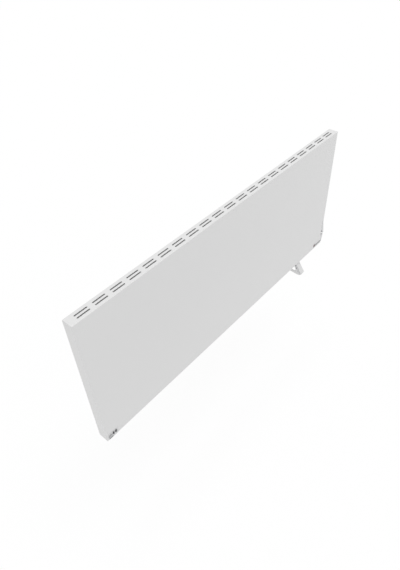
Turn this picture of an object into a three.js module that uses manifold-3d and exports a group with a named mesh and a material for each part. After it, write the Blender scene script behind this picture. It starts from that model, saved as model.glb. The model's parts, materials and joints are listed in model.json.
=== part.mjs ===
// Wall panel convector heater, 1200 x 500 x 35 mm, on a steel wall bracket.
//
// Units are millimetres, +Z is up and the front looks along -Y. The origin is the centre of the
// wall bracket's back face, so y = 0 is the wall and z = 0 is the panel's mid height.

import * as THREE from 'three';
import { mergeVertices } from 'three/addons/utils/BufferGeometryUtils.js';
import Module from 'manifold-3d';

const kernel = await Module();
kernel.setup();

// ---------------------------------------------------------------- driving dimensions

const PANEL_LENGTH = 1200;
const PANEL_HEIGHT = 500;
const PANEL_DEPTH = 35;
const WALL_GAP = 20;
const SHELL_SHEET = 1.2;
const EDGE_RADIUS = 2;
const LIP_WIDTH = 10;
const GAP = 0.3;
const SCREW_CLEARANCE = 0.4;
const SLIDE_CLEARANCE = 0.35;

const SLOT_PAIRS = 21;
const SLOT_END_MARGIN = 24.5;
const SLOT_BRIDGE = 14.5;
const SLOT_WIDTH = 5;
const SLOT_ROW_SPACING = 10.5;
const INTAKE_PAIRS = 9;
const INTAKE_END_MARGIN = 108;
const INTAKE_BRIDGE = 15;

const COVER_SHEET = 1;
const BEAD_HEIGHT = 2.5;
const BEAD_WIDTH = 20;
const BEAD_EDGE_MARGIN = 60;
const BEAD_MIDDLE_OFFSET = 110;
const BEAD_RAIL_OFFSET = 120;
const BEAD_END_INSET = 80;
const VENT_WIDTH = 5;
const VENT_BRIDGE = 14;
const VENT_COUNT = 12;
const VENT_END_MARGIN = 247;
const VENT_EDGE_MARGIN = 28;

const SCREW_SHANK_RADIUS = 1.6;
const SCREW_HEAD_RADIUS = 3.4;
const SCREW_HEAD_HEIGHT = 1.8;
const SCREW_SIDES = 8;
const COVER_SCREW_BITE = 2;
const COVER_SCREW_INSET = 30;
const COVER_SCREWS_PER_ROW = 3;

const SHIELD_SHEET = 0.8;
const SHIELD_END_MARGIN = 25;
const SHIELD_BOTTOM_MARGIN = 60;
const SHIELD_TOP_MARGIN = 130;
const SHIELD_STANDOFF = 2.8;
const SHIELD_BOSS_RADIUS = 6;
const SHIELD_RETURN = 8;
const SHIELD_SCREW_RAIL_OFFSET = 70;
const SHIELD_SCREW_INSET = 20;

const ELEMENT_END_MARGIN = 55;
const ELEMENT_INNER_END = 40;
const ELEMENT_RISE = 150;
const ELEMENT_DEPTH = 22;
const ELEMENT_TALL = 64;
const WING_THICKNESS = 1.8;
const WINDOW_COUNT = 4;
const WINDOW_LENGTH = 88;
const WINDOW_HEIGHT = 3.4;
const ROD_RADIUS = 3.9;
const ROD_OVERHANG = 18;
const ROD_PIN_RADIUS = 1.5;
const ROD_PIN_LENGTH = 8;
const ROD_CORE_RADIUS = 7;

const HANGER_SHEET = 1.2;
const HANGER_WIDTH = 20;
const HANGER_TALL = 44;
const HANGER_FOOT = 15;
const BUSHING_COLLAR_RADIUS = 8.2;
const BUSHING_NECK_RADIUS = 6;
const BUSHING_COLLAR = 2.2;

const LEAD_RADIUS = 1.5;

const BEZEL_LEFT = 7;
const BEZEL_RIGHT = 42.6;
const BEZEL_BOTTOM = 1.6;
const BEZEL_TOP = 27.4;
const BEZEL_PROUD = 0.8;
const BEZEL_RIM = 1.4;
const BEZEL_SPIGOT = 2.2;
const DIAL_X = 14.6;
const DIAL_Z = 14.8;
const DIAL_RADIUS = 5.6;
const DIAL_PROUD = 2.4;
const DIAL_FLUTES = 16;
const FLUTE_DEPTH = 0.22;
const BUTTON_Z = 17.3;
const BUTTON_HEIGHT = 12.6;
const BUTTON_WIDTH = 5.6;
const BUTTON_XS = [25.9, 35.4];
const BUTTON_PROUD = 1.2;
const BUTTON_TRAVEL = 0.9;
const FLANGE_THICKNESS = 1;
const FLANGE_RIM = 0.9;
const HOUSING_WALL = 1.5;
const HOUSING_REACH = 3.5;
const HOUSING_LEDGE = 3;
const HOUSING_VENTS = 5;
const HOUSING_VENT_PITCH = 5.5;
const HOUSING_VENT_WIDTH = 2.4;
const HOUSING_DEPTH = 16;
const BOARD_THICKNESS = 1.6;
const BOARD_DEPTH = 8;
const BOARD_CLEARANCE = 0.4;
const ENCODER_SIZE = 9;
const ENCODER_DEPTH = 3;
const KEY_SIZE = 6;
const KEY_BODY = 1.6;
const KEY_REACH = 2.4;
const SENSOR_INSET = 72;
const SENSOR_FOOT = 12;
const SENSOR_POST = 7;
const SENSOR_HEIGHT = 12;
const SENSOR_RISE = 8;
const SENSOR_RADIUS = 1.5;

const STRIP_LENGTH = 55.4;
const STRIP_RIGHT_INSET = 3.6;
const STRIP_Z = 12.6;
const STRIP_HEIGHT = 8.2;
const STRIP_PROUD = 0.4;
const STRIP_SPIGOT = 3;
const STRIP_RIM = 1;
const STRIP_HEAD = 14.4;
const STRIP_HEAD_Z = 14.6;
const LAMP_RADIUS = 4.4;
const LAMP_PROUD = 1;
const LAMP_DEPTH = 11;

const CAP_WIDTH = 9.4;
const CAP_DEPTH = 16;
const CAP_BOTTOM = 20;
const CAP_TOP = 116;
const CAP_SKIRT = 6.6;
const CAP_REAR_WALL = 2.2;
const CAP_BULGE = 9.6;
const CAP_BULGE_FOOT = 3;
const CAP_BULGE_BOTTOM = 6;
const ROCKER_Z = 74.4;
const ROCKER_HALF = 30;
const ROCKER_TILT = 13.5;
const ROCKER_FACE = 11.9;
const ROCKER_EDGE = 5.2;
const ROCKER_KNEE_Z = 9;
const ROCKER_KNEE_X = -1;
const ROCKER_HUB_X = -4;
const ROCKER_HUB_Z = 5;
const ROCKER_PIVOT_INSET = 4.6;
const ROCKER_STUD_RADIUS = 2.6;
const ROCKER_STUD_LENGTH = 11;
const POCKET_DEEP_HALF = 17;
const POCKET_SHALLOW_X = -3.2;
const POCKET_DEEP_X = -5.5;
const SWITCH_LENGTH = 17;
const SWITCH_TALL = 30;

const BRACKET_SHEET = 1.5;
const RAIL_WIDTH = 56;
const RAIL_INSET = 170;
const RAIL_EDGE_MARGIN = 60;
const CROSSBAR_HEIGHT = 50;
const HOOK_DROP = 40;
const HOOK_NECK = 8;
const HOOK_NOSE = 10;
const HOOK_NOSE_DEPTH = 3;
const HOOK_REACH = 2.5;
const HOOK_SLOT_LENGTH = 30;
const HOOK_SLOT_WIDTH = 4;
const WALL_HOLE_RADIUS = 3.2;
const WALL_HOLE_LENGTH = 16;
const WALL_HOLE_END_MARGIN = 60;
const WALL_HOLE_INNER_Z = 60;
const WALL_HOLE_BAR_X = 150;

const ARM_SHEET = 2.5;
const ARM_RAIL_OFFSET = 3;
const ARM_WIDTH = 23;
const ARM_PIVOT_Y = -8;
const ARM_PIVOT_DROP = 50;
const ARM_PIN_RADIUS = 2.3;
const ARM_SLEEVE_RADIUS = 4.6;
const ARM_TIP_Y = -75;
const ARM_TIP_DROP = 54;
const ARM_TOP_Y = -45;
const ARM_TOP_DROP = 4.6;
const ARM_BAR_WIDTH = 6;
const ARM_FLANGE_WIDTH = 12;
const ARM_SHELF = 13;
const ARM_PAD_HEIGHT = 2.6;
const RIVET_RADIUS = 2.2;
const RIVET_HEAD = 1.2;

const GLAND_END_INSET = 80;
const GLAND_RISE = 45;
const GLAND_NECK_RADIUS = 6;
const GLAND_BORE_RADIUS = 3.6;
const GLAND_NUT_RADIUS = 9;

// ---------------------------------------------------------------- levels worked out from them

const LEFT_X = -PANEL_LENGTH / 2;
const RIGHT_X = PANEL_LENGTH / 2;
const BOTTOM_Z = -PANEL_HEIGHT / 2;
const TOP_Z = PANEL_HEIGHT / 2;
const BACK_Y = -WALL_GAP;
const FRONT_Y = BACK_Y - PANEL_DEPTH;
const INNER_FRONT_Y = FRONT_Y + SHELL_SHEET;
const COVER_FRONT_Y = BACK_Y - COVER_SHEET;
const LIP_BACK_Y = COVER_FRONT_Y - GAP;
const LIP_FRONT_Y = LIP_BACK_Y - SHELL_SHEET;
const SHIELD_BACK_Y = COVER_FRONT_Y - SHIELD_STANDOFF;
const SHIELD_FRONT_Y = SHIELD_BACK_Y - SHIELD_SHEET;
const CENTRE_Y = (INNER_FRONT_Y + SHIELD_FRONT_Y) / 2;
const BEZEL_FRONT_Y = FRONT_Y - BEZEL_PROUD;
const BEZEL_BACK_Y = FRONT_Y + BEZEL_SPIGOT;
const FLANGE_FRONT_Y = BEZEL_BACK_Y + GAP;
const FLANGE_BACK_Y = FLANGE_FRONT_Y + FLANGE_THICKNESS;
const BOARD_FRONT_Y = BEZEL_BACK_Y + BOARD_DEPTH;
const HOUSING_FRONT_Y = BEZEL_BACK_Y + GAP;
const CAP_BACK_Y = FRONT_Y + CAP_DEPTH;
const CAP_LEFT_X = RIGHT_X - CAP_WIDTH;
const SKIRT_LEFT_X = CAP_LEFT_X - CAP_SKIRT;
const PIVOT_X = RIGHT_X - ROCKER_PIVOT_INSET;
const ROCKER_WALL_Y = CAP_BACK_Y - CAP_REAR_WALL;
const POCKET_HALF = Math.hypot(ROCKER_HALF, ROCKER_FACE) + GAP;
const SLOT_PITCH = (PANEL_LENGTH - 2 * SLOT_END_MARGIN + SLOT_BRIDGE) / SLOT_PAIRS;
const SLOT_LENGTH = SLOT_PITCH - SLOT_BRIDGE;
const INTAKE_PITCH = (PANEL_LENGTH - 2 * INTAKE_END_MARGIN + INTAKE_BRIDGE) / INTAKE_PAIRS;
const INTAKE_LENGTH = INTAKE_PITCH - INTAKE_BRIDGE;
const VENT_PITCH = (PANEL_LENGTH - 2 * VENT_END_MARGIN + VENT_BRIDGE) / VENT_COUNT;
const VENT_LENGTH = VENT_PITCH - VENT_BRIDGE;
const VENT_ROW_Z = TOP_Z - VENT_EDGE_MARGIN;
const RAIL_X = RIGHT_X - RAIL_INSET;
const RAIL_HALF_HEIGHT = TOP_Z - RAIL_EDGE_MARGIN;
const HOOK_Z = RAIL_HALF_HEIGHT - HOOK_DROP;
const BEAD_LENGTH = PANEL_HEIGHT - 2 * BEAD_EDGE_MARGIN;
const BEAD_OFFSETS = [BEAD_MIDDLE_OFFSET, RAIL_X - BEAD_RAIL_OFFSET, RIGHT_X - BEAD_END_INSET];
const SHIELD_LENGTH = PANEL_LENGTH - 2 * SHIELD_END_MARGIN;
const SHIELD_BOTTOM = BOTTOM_Z + SHIELD_BOTTOM_MARGIN;
const SHIELD_TOP = TOP_Z - SHIELD_TOP_MARGIN;
const SHIELD_SCREW_X = RAIL_X - SHIELD_SCREW_RAIL_OFFSET;
const ELEMENT_LENGTH = RIGHT_X - ELEMENT_INNER_END - ELEMENT_END_MARGIN;
const ELEMENT_HEIGHT_Z = BOTTOM_Z + ELEMENT_RISE;
const GLAND_X = RIGHT_X - GLAND_END_INSET;
const GLAND_Z = BOTTOM_Z + GLAND_RISE;
const ARM_LEFT = RAIL_X - ARM_RAIL_OFFSET;
const ARM_PIVOT_Z = BOTTOM_Z - ARM_PIVOT_DROP;
const ARM_RIGHT = ARM_LEFT + ARM_WIDTH;

// ---------------------------------------------------------------- solids and profiles

function signedVolume(positions, triangles) {
  let volume = 0;
  const a = new THREE.Vector3();
  const b = new THREE.Vector3();
  const c = new THREE.Vector3();
  for (let i = 0; i < triangles.length; i += 3) {
    a.fromArray(positions, triangles[i] * 3);
    b.fromArray(positions, triangles[i + 1] * 3);
    c.fromArray(positions, triangles[i + 2] * 3);
    volume += a.dot(b.cross(c));
  }
  return volume;
}

// A closed three.js geometry as a solid that can be joined and cut.
function solid(geometry) {
  const bare = new THREE.BufferGeometry();
  bare.setAttribute('position', geometry.getAttribute('position'));
  bare.setIndex(geometry.index);
  const merged = mergeVertices(bare, 1e-4);
  const vertProperties = new Float32Array(merged.getAttribute('position').array);
  const triVerts = new Uint32Array(merged.index.array);
  if (signedVolume(vertProperties, triVerts) < 0) {
    for (let i = 0; i < triVerts.length; i += 3) {
      const first = triVerts[i];
      triVerts[i] = triVerts[i + 1];
      triVerts[i + 1] = first;
    }
  }
  return new kernel.Manifold(new kernel.Mesh({ numProp: 3, vertProperties, triVerts }));
}

function geometryOf(body) {
  const mesh = body.getMesh();
  const geometry = new THREE.BufferGeometry();
  geometry.setAttribute('position', new THREE.BufferAttribute(new Float32Array(mesh.vertProperties), 3));
  geometry.setIndex(new THREE.BufferAttribute(new Uint32Array(mesh.triVerts), 1));
  geometry.computeVertexNormals();
  return geometry;
}

function join(first, ...others) {
  return others.reduce((sum, other) => sum.add(other), first);
}

function cut(first, ...others) {
  return others.reduce((rest, other) => rest.subtract(other), first);
}

// Box from its low and high corners.
function block(x0, x1, y0, y1, z0, z1) {
  const geometry = new THREE.BoxGeometry(x1 - x0, y1 - y0, z1 - z0);
  geometry.translate((x0 + x1) / 2, (y0 + y1) / 2, (z0 + z1) / 2);
  return solid(geometry);
}

const ALONG_X = new THREE.Matrix4().set(0, 0, 1, 0, 1, 0, 0, 0, 0, 1, 0, 0, 0, 0, 0, 1);

// Outline extruded along x (outline in y, z), along y (outline in x, z) or along z (outline in x, y).
function prism(axis, outline, low, high) {
  const shape = new THREE.Shape(outline.map(([a, b]) => new THREE.Vector2(a, b)));
  const geometry = new THREE.ExtrudeGeometry(shape, { depth: high - low, bevelEnabled: false });
  if (axis === 'z') {
    geometry.translate(0, 0, low);
  }
  if (axis === 'y') {
    geometry.rotateX(Math.PI / 2);
    geometry.translate(0, high, 0);
  }
  if (axis === 'x') {
    geometry.applyMatrix4(ALONG_X);
    geometry.translate(low, 0, 0);
  }
  return solid(geometry);
}

// Rectangle with rounded corners as a list of points, anticlockwise.
function roundedRectangle(a0, a1, b0, b1, radius, steps = 3) {
  const corners = [[a1 - radius, b0 + radius, -90], [a1 - radius, b1 - radius, 0],
    [a0 + radius, b1 - radius, 90], [a0 + radius, b0 + radius, 180]];
  const points = [];
  for (const [a, b, start] of corners) {
    for (let i = 0; i <= steps; i += 1) {
      const angle = THREE.MathUtils.degToRad(start + (90 * i) / steps);
      points.push([a + radius * Math.cos(angle), b + radius * Math.sin(angle)]);
    }
  }
  return points;
}

function stadium(aMid, bMid, aSize, bSize, steps = 3) {
  const radius = Math.min(aSize, bSize) / 2 - 0.01;
  return roundedRectangle(aMid - aSize / 2, aMid + aSize / 2, bMid - bSize / 2, bMid + bSize / 2, radius, steps);
}

function circle(aMid, bMid, radius, sides = 24) {
  const points = [];
  for (let i = 0; i < sides; i += 1) {
    const angle = (2 * Math.PI * (i + 0.5)) / sides;
    points.push([aMid + radius * Math.cos(angle), bMid + radius * Math.sin(angle)]);
  }
  return points;
}

// Polygon whose listed corners are rounded: each entry is [a, b, radius].
function rounded(corners, steps = 4) {
  const points = [];
  corners.forEach(([a, b, radius], i) => {
    const here = new THREE.Vector2(a, b);
    if (!radius) {
      points.push([a, b]);
      return;
    }
    const [pa, pb] = corners[(i + corners.length - 1) % corners.length];
    const [na, nb] = corners[(i + 1) % corners.length];
    const back = new THREE.Vector2(pa, pb).sub(here).normalize();
    const ahead = new THREE.Vector2(na, nb).sub(here).normalize();
    const half = Math.acos(THREE.MathUtils.clamp(back.dot(ahead), -1, 1)) / 2;
    const reach = radius / Math.tan(half);
    const from = here.clone().addScaledVector(back, reach);
    const to = here.clone().addScaledVector(ahead, reach);
    for (let k = 0; k <= steps; k += 1) {
      const t = k / steps;
      const curve = from.clone().multiplyScalar((1 - t) ** 2);
      curve.addScaledVector(here, 2 * t * (1 - t)).addScaledVector(to, t * t);
      points.push([curve.x, curve.y]);
    }
  });
  return points;
}

function rod(axis, a, b, low, high, radius, sides = 16) {
  return prism(axis, circle(a, b, radius, sides), low, high);
}

// Revolved profile about a line through (x, z) along +y: profile points are [radius, y].
function turnedAlongY(profile, x, z, sides = 24) {
  const geometry = new THREE.LatheGeometry(profile.map(([r, h]) => new THREE.Vector2(r, h)), sides);
  geometry.translate(x, 0, z);
  return solid(geometry);
}

function turnedAlongX(profile, y, z, sides = 20) {
  const geometry = new THREE.LatheGeometry(profile.map(([r, h]) => new THREE.Vector2(r, h)), sides);
  geometry.rotateZ(-Math.PI / 2);
  geometry.translate(0, y, z);
  return solid(geometry);
}

// Pan-head screw along y, seated at y = 0 with its head on the +y side.
function screw(shankLength) {
  const rim = SCREW_HEAD_HEIGHT * 0.55;
  const crown = SCREW_HEAD_HEIGHT;
  const profile = [[0, crown], [SCREW_HEAD_RADIUS * 0.6, crown], [SCREW_HEAD_RADIUS, rim],
    [SCREW_HEAD_RADIUS, 0], [SCREW_SHANK_RADIUS, 0], [SCREW_SHANK_RADIUS, -shankLength], [0, -shankLength]];
  return turnedAlongY(profile, 0, 0, SCREW_SIDES);
}

function screwHole(x, z, y0, y1) {
  return rod('y', x, z, y0, y1, SCREW_SHANK_RADIUS + SCREW_CLEARANCE, SCREW_SIDES);
}

// ---------------------------------------------------------------- scene graph

const heater = new THREE.Group();

function paint(color, roughness, metalness) {
  return () => new THREE.MeshStandardMaterial({ color, roughness, metalness });
}

const WHITE_ENAMEL = paint(0xe9eaea, 0.45, 0.0);
const GREY_PLASTIC = paint(0xb4b6b8, 0.5, 0.0);
const LIGHT_PLASTIC = paint(0xd6d8da, 0.45, 0.0);
const DARK_PLASTIC = paint(0x2c2d30, 0.4, 0.0);
const RED_LENS = paint(0x8c1c22, 0.2, 0.0);
const ZINC = paint(0xb9bcc0, 0.35, 0.9);
const BARE_ALUMINIUM = paint(0xc9ccd0, 0.4, 0.9);
const DARK_STEEL = paint(0x6d6f72, 0.4, 0.8);
const CERAMIC = paint(0xe6e0d2, 0.6, 0.0);
const BOARD_GREEN = paint(0x2f6b4a, 0.6, 0.0);
const BRASS = paint(0xc8a25a, 0.35, 0.9);
const RUBBER = paint(0x3a3b3d, 0.8, 0.0);

function place(name, body, material, parent = heater) {
  const mesh = new THREE.Mesh(geometryOf(body), material());
  mesh.name = name;
  parent.add(mesh);
  return mesh;
}

// ---------------------------------------------------------------- front shell

const fromLeft = (value) => LEFT_X + value;
const fromBottom = (value) => BOTTOM_Z + value;

// Panel-sized body set in from the outer faces, with rounded front edges and corners.
function panelBody(inset, backY) {
  const radius = EDGE_RADIUS - inset * 0.9;
  const front = FRONT_Y + inset;
  const long = [LEFT_X + inset, RIGHT_X - inset];
  const tall = [BOTTOM_Z + inset, TOP_Z - inset];
  const roundFront = (low, high) => rounded([[low, backY, 0], [low, front, radius], [high, front, radius], [high, backY, 0]]);
  const plan = prism('z', roundFront(...long), tall[0], tall[1]);
  const side = prism('x', roundFront(...tall).map(([z, y]) => [y, z]).reverse(), long[0], long[1]);
  const face = prism('y', roundedRectangle(...long, ...tall, radius), front, backY);
  return plan.intersect(side).intersect(face);
}

function slotPairs(pairs, pitch, length, z0, z1) {
  const middle = (FRONT_Y + BACK_Y) / 2;
  const cutters = [];
  for (let i = 0; i < pairs; i += 1) {
    const x = (i - (pairs - 1) / 2) * pitch;
    for (const side of [-1, 1]) {
      const y = middle + (side * SLOT_ROW_SPACING) / 2;
      cutters.push(prism('z', stadium(x, y, length, SLOT_WIDTH, 1), z0, z1));
    }
  }
  return cutters;
}

function coverScrewPlaces() {
  const places = [];
  const lipMiddle = SHELL_SHEET + LIP_WIDTH / 2;
  for (let i = 0; i < COVER_SCREWS_PER_ROW; i += 1) {
    const x = (2 * i / (COVER_SCREWS_PER_ROW - 1) - 1) * (RIGHT_X - COVER_SCREW_INSET);
    places.push([x, BOTTOM_Z + lipMiddle], [x, TOP_Z - lipMiddle]);
  }
  places.push([LEFT_X + lipMiddle, 0], [RIGHT_X - lipMiddle, 0]);
  return places;
}

const STRIP_RIGHT_X = RIGHT_X - STRIP_RIGHT_INSET;
const STRIP_LEFT_X = STRIP_RIGHT_X - STRIP_LENGTH;

function stripHeadX() {
  return STRIP_LEFT_X + STRIP_HEAD / 2;
}

// Dark strip with its wider head, shrunk by inset, between two depths.
function stripBody(inset, y0, y1) {
  const x0 = STRIP_LEFT_X + inset;
  const x1 = STRIP_RIGHT_X - inset;
  const half = STRIP_HEIGHT / 2 - inset;
  const z = fromBottom(STRIP_Z);
  const headZ = fromBottom(STRIP_HEAD_Z);
  const headHalf = STRIP_HEAD / 2 - inset;
  const bar = prism('y', roundedRectangle(x0, x1, z - half, z + half, 1), y0, y1);
  const headX = stripHeadX();
  const head = roundedRectangle(headX - headHalf, headX + headHalf, headZ - headHalf, headZ + headHalf, 3);
  return bar.add(prism('y', head, y0, y1));
}

function frontShell() {
  const wall = SHELL_SHEET;
  const inner = LIP_WIDTH + wall;
  let shell = panelBody(0, BACK_Y);
  shell = shell.subtract(panelBody(wall, LIP_FRONT_Y));
  shell = shell.subtract(block(LEFT_X + inner, RIGHT_X - inner, LIP_FRONT_Y - 1, BACK_Y + 1, BOTTOM_Z + inner, TOP_Z - inner));
  shell = shell.subtract(block(LEFT_X + wall, RIGHT_X - wall, LIP_BACK_Y, BACK_Y + 1, BOTTOM_Z + wall, TOP_Z - wall));
  const grille = slotPairs(SLOT_PAIRS, SLOT_PITCH, SLOT_LENGTH, TOP_Z - 2 * wall, TOP_Z + wall);
  const intake = slotPairs(INTAKE_PAIRS, INTAKE_PITCH, INTAKE_LENGTH, BOTTOM_Z - wall, BOTTOM_Z + 2 * wall);
  const holes = coverScrewPlaces().map(([x, z]) => screwHole(x, z, LIP_FRONT_Y - 1, LIP_BACK_Y + 1));
  const module = prism('y', roundedRectangle(fromLeft(BEZEL_LEFT + BEZEL_RIM), fromLeft(BEZEL_RIGHT - BEZEL_RIM),
    fromBottom(BEZEL_BOTTOM + BEZEL_RIM), fromBottom(BEZEL_TOP - BEZEL_RIM), 1.5), FRONT_Y - 1, INNER_FRONT_Y + 1);
  const strip = stripBody(STRIP_RIM, FRONT_Y - 1, INNER_FRONT_Y + 1);
  const corner = block(CAP_LEFT_X - GAP, RIGHT_X + 1, FRONT_Y - 1, CAP_BACK_Y + GAP,
    fromBottom(CAP_BOTTOM) - GAP, fromBottom(CAP_TOP) + GAP);
  return cut(shell, ...grille, ...intake, ...holes, module, strip, corner);
}

// ---------------------------------------------------------------- rear cover

// Pressed bead: a long low ridge with sloping sides and ends, standing out from the cover.
function beadRidge(x, height, narrow) {
  const half = BEAD_WIDTH / 2 - narrow;
  const long = BEAD_LENGTH / 2 - narrow;
  const foot = COVER_FRONT_Y - (narrow ? 1 : 0);
  const crown = BACK_Y + height;
  const across = [[x - half, foot], [x + half, foot], [x + half - BEAD_HEIGHT, crown], [x - half + BEAD_HEIGHT, crown]];
  const along = [[foot, -long], [crown, -long + BEAD_HEIGHT], [crown, long - BEAD_HEIGHT], [foot, long]];
  return prism('z', across, -long, long).intersect(prism('x', along.reverse(), x - half, x + half));
}

function shieldScrewPlaces() {
  const places = [];
  for (const x of [-SHIELD_SCREW_X, SHIELD_SCREW_X]) {
    places.push([x, SHIELD_BOTTOM + SHIELD_SCREW_INSET], [x, SHIELD_TOP - SHIELD_SCREW_INSET]);
  }
  return places;
}

function webCentres() {
  const offset = (RAIL_WIDTH - BRACKET_SHEET) / 2;
  return [-RAIL_X - offset, -RAIL_X + offset, RAIL_X - offset, RAIL_X + offset];
}

function rearCover() {
  const edge = SHELL_SHEET + GAP;
  const outline = roundedRectangle(LEFT_X + edge, RIGHT_X - edge, BOTTOM_Z + edge, TOP_Z - edge, 1);
  let cover = prism('y', outline, COVER_FRONT_Y, BACK_Y);
  for (const offset of BEAD_OFFSETS) {
    for (const x of [-offset, offset]) {
      cover = cover.add(beadRidge(x, BEAD_HEIGHT, 0));
      cover = cover.subtract(beadRidge(x, BEAD_HEIGHT - COVER_SHEET, COVER_SHEET));
    }
  }
  const cutters = [];
  for (let i = 0; i < VENT_COUNT; i += 1) {
    const x = (i - (VENT_COUNT - 1) / 2) * VENT_PITCH;
    for (const z of [-VENT_ROW_Z, VENT_ROW_Z]) {
      cutters.push(prism('y', stadium(x, z, VENT_LENGTH, VENT_WIDTH, 1), COVER_FRONT_Y - 1, BACK_Y + 1));
    }
  }
  for (const [x, z] of [...coverScrewPlaces(), ...shieldScrewPlaces()]) {
    cutters.push(screwHole(x, z, COVER_FRONT_Y - 1, BACK_Y + 1));
  }
  const slotTop = HOOK_Z + HOOK_NECK + GAP;
  for (const x of webCentres()) {
    const slot = [x - HOOK_SLOT_WIDTH / 2, x + HOOK_SLOT_WIDTH / 2, slotTop - HOOK_SLOT_LENGTH, slotTop];
    cutters.push(prism('y', roundedRectangle(...slot, 0.6, 2), COVER_FRONT_Y - 1, BACK_Y + 1));
  }
  cutters.push(rod('y', GLAND_X, GLAND_Z, COVER_FRONT_Y - 1, BACK_Y + 1, GLAND_NECK_RADIUS + GAP, 24));
  return cut(cover, ...cutters);
}

function cableGland() {
  const flange = BACK_Y + GAP;
  const nutBack = COVER_FRONT_Y - GAP;
  const nutFront = nutBack - 3;
  const profile = [[GLAND_BORE_RADIUS, flange + 4], [GLAND_NECK_RADIUS, flange + 4], [GLAND_NUT_RADIUS, flange + 2.4],
    [GLAND_NUT_RADIUS, flange], [GLAND_NECK_RADIUS, flange], [GLAND_NECK_RADIUS, nutBack],
    [GLAND_NUT_RADIUS, nutBack], [GLAND_NUT_RADIUS, nutFront], [GLAND_BORE_RADIUS, nutFront],
    [GLAND_BORE_RADIUS, flange + 4]];
  return turnedAlongY(profile, GLAND_X, GLAND_Z, 18);
}

// ---------------------------------------------------------------- heat shield and elements

function hangerPlaces() {
  const inset = ROD_OVERHANG / 2;
  const outer = ELEMENT_INNER_END + ELEMENT_LENGTH + inset;
  const inner = ELEMENT_INNER_END - inset;
  return [-outer, -inner, inner, outer];
}

// Feet of the outer hangers point inwards and those of the inner ones point to the middle.
function hangerFootSide(x) {
  const outer = Math.abs(x) > ELEMENT_LENGTH;
  return outer ? Math.sign(x) : -Math.sign(x);
}

function heatShield() {
  const half = SHIELD_LENGTH / 2;
  const sheet = prism('y', roundedRectangle(-half, half, SHIELD_BOTTOM, SHIELD_TOP, 4), SHIELD_FRONT_Y, SHIELD_BACK_Y);
  const returns = [SHIELD_BOTTOM, SHIELD_TOP - SHIELD_SHEET].map((z) => block(-half + 10, half - 10,
    SHIELD_FRONT_Y - SHIELD_RETURN, SHIELD_FRONT_Y + 0.1, z, z + SHIELD_SHEET));
  const bosses = shieldScrewPlaces().map(([x, z]) => turnedAlongY([[0, SHIELD_FRONT_Y], [SHIELD_BOSS_RADIUS + 3, SHIELD_FRONT_Y],
    [SHIELD_BOSS_RADIUS, COVER_FRONT_Y - GAP], [0, COVER_FRONT_Y - GAP]], x, z, 12));
  const holes = shieldScrewPlaces().map(([x, z]) => screwHole(x, z, SHIELD_FRONT_Y - 1, COVER_FRONT_Y));
  return cut(join(sheet, ...returns, ...bosses), ...holes);
}

// Extruded aluminium convector: a round core with four bent wings and fins on each wing.
function elementProfile() {
  const halfY = ELEMENT_DEPTH / 2;
  const halfZ = ELEMENT_TALL / 2;
  const t = WING_THICKNESS;
  const core = ROD_CORE_RADIUS;
  const wing = [[core * 0.5, core * 0.8], [halfY - 3, core + 6], [halfY - 3, halfZ - 8], [halfY, halfZ],
    [halfY - t, halfZ], [halfY - 3 - t, halfZ - 8], [halfY - 3 - t, core + 7], [core * 0.1, core * 0.95]];
  return wing;
}

function element() {
  const profile = elementProfile();
  const length = ELEMENT_LENGTH;
  const pieces = [rod('x', 0, 0, 0, length, ROD_CORE_RADIUS, 24)];
  for (const [sy, sz] of [[1, 1], [-1, 1], [-1, -1], [1, -1]]) {
    const outline = profile.map(([y, z]) => [sy * y, sz * z]);
    const oriented = sy * sz > 0 ? outline : outline.reverse();
    pieces.push(prism('x', oriented, 0, length));
  }
  const finReach = ELEMENT_DEPTH / 2 - 3;
  for (const level of [ROD_CORE_RADIUS + 8, ELEMENT_TALL / 2 - 10]) {
    for (const sign of [-1, 1]) {
      const z = sign * level;
      pieces.push(block(0, length, -finReach, -1.5, z - 0.5, z + 0.5));
      pieces.push(block(0, length, 1.5, finReach, z - 0.5, z + 0.5));
    }
  }
  const windows = [];
  for (let i = 0; i < WINDOW_COUNT; i += 1) {
    const x = ((i + 0.5) * length) / WINDOW_COUNT;
    for (const sign of [-1, 1]) {
      const z = sign * (ELEMENT_TALL / 2 - 5);
      windows.push(prism('y', stadium(x, z, WINDOW_LENGTH, WINDOW_HEIGHT, 1), -ELEMENT_DEPTH, ELEMENT_DEPTH));
    }
  }
  const bore = rod('x', 0, 0, -1, length + 1, ROD_RADIUS + GAP, 24);
  return cut(join(...pieces), ...windows, bore);
}

function heaterRod() {
  const end = ELEMENT_LENGTH + 2 * ROD_OVERHANG;
  const profile = [[0, -ROD_PIN_LENGTH], [ROD_PIN_RADIUS, -ROD_PIN_LENGTH], [ROD_PIN_RADIUS, 0], [ROD_RADIUS, 0],
    [ROD_RADIUS, end], [ROD_PIN_RADIUS, end], [ROD_PIN_RADIUS, end + ROD_PIN_LENGTH], [0, end + ROD_PIN_LENGTH]];
  return turnedAlongX(profile, 0, 0, 14);
}

function hanger(footSide) {
  const halfSheet = HANGER_SHEET / 2;
  const footBack = SHIELD_FRONT_Y - GAP - CENTRE_Y;
  const footFront = footBack - HANGER_SHEET;
  const front = -HANGER_WIDTH / 2;
  const half = HANGER_TALL / 2;
  const outline = rounded([[footBack, -half, 0], [footBack, half, 0], [front, half - 8, 5], [front, -half + 8, 5]]);
  const plate = prism('x', outline.reverse(), -halfSheet, halfSheet);
  const low = footSide > 0 ? -halfSheet : -HANGER_FOOT;
  const high = footSide > 0 ? HANGER_FOOT : halfSheet;
  const foot = prism('y', roundedRectangle(low, high, -half, half, 1.5), footFront, footBack);
  const seat = rod('x', 0, 0, -2, 2, BUSHING_NECK_RADIUS + GAP, 14);
  return cut(join(plate, foot), seat);
}

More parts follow.
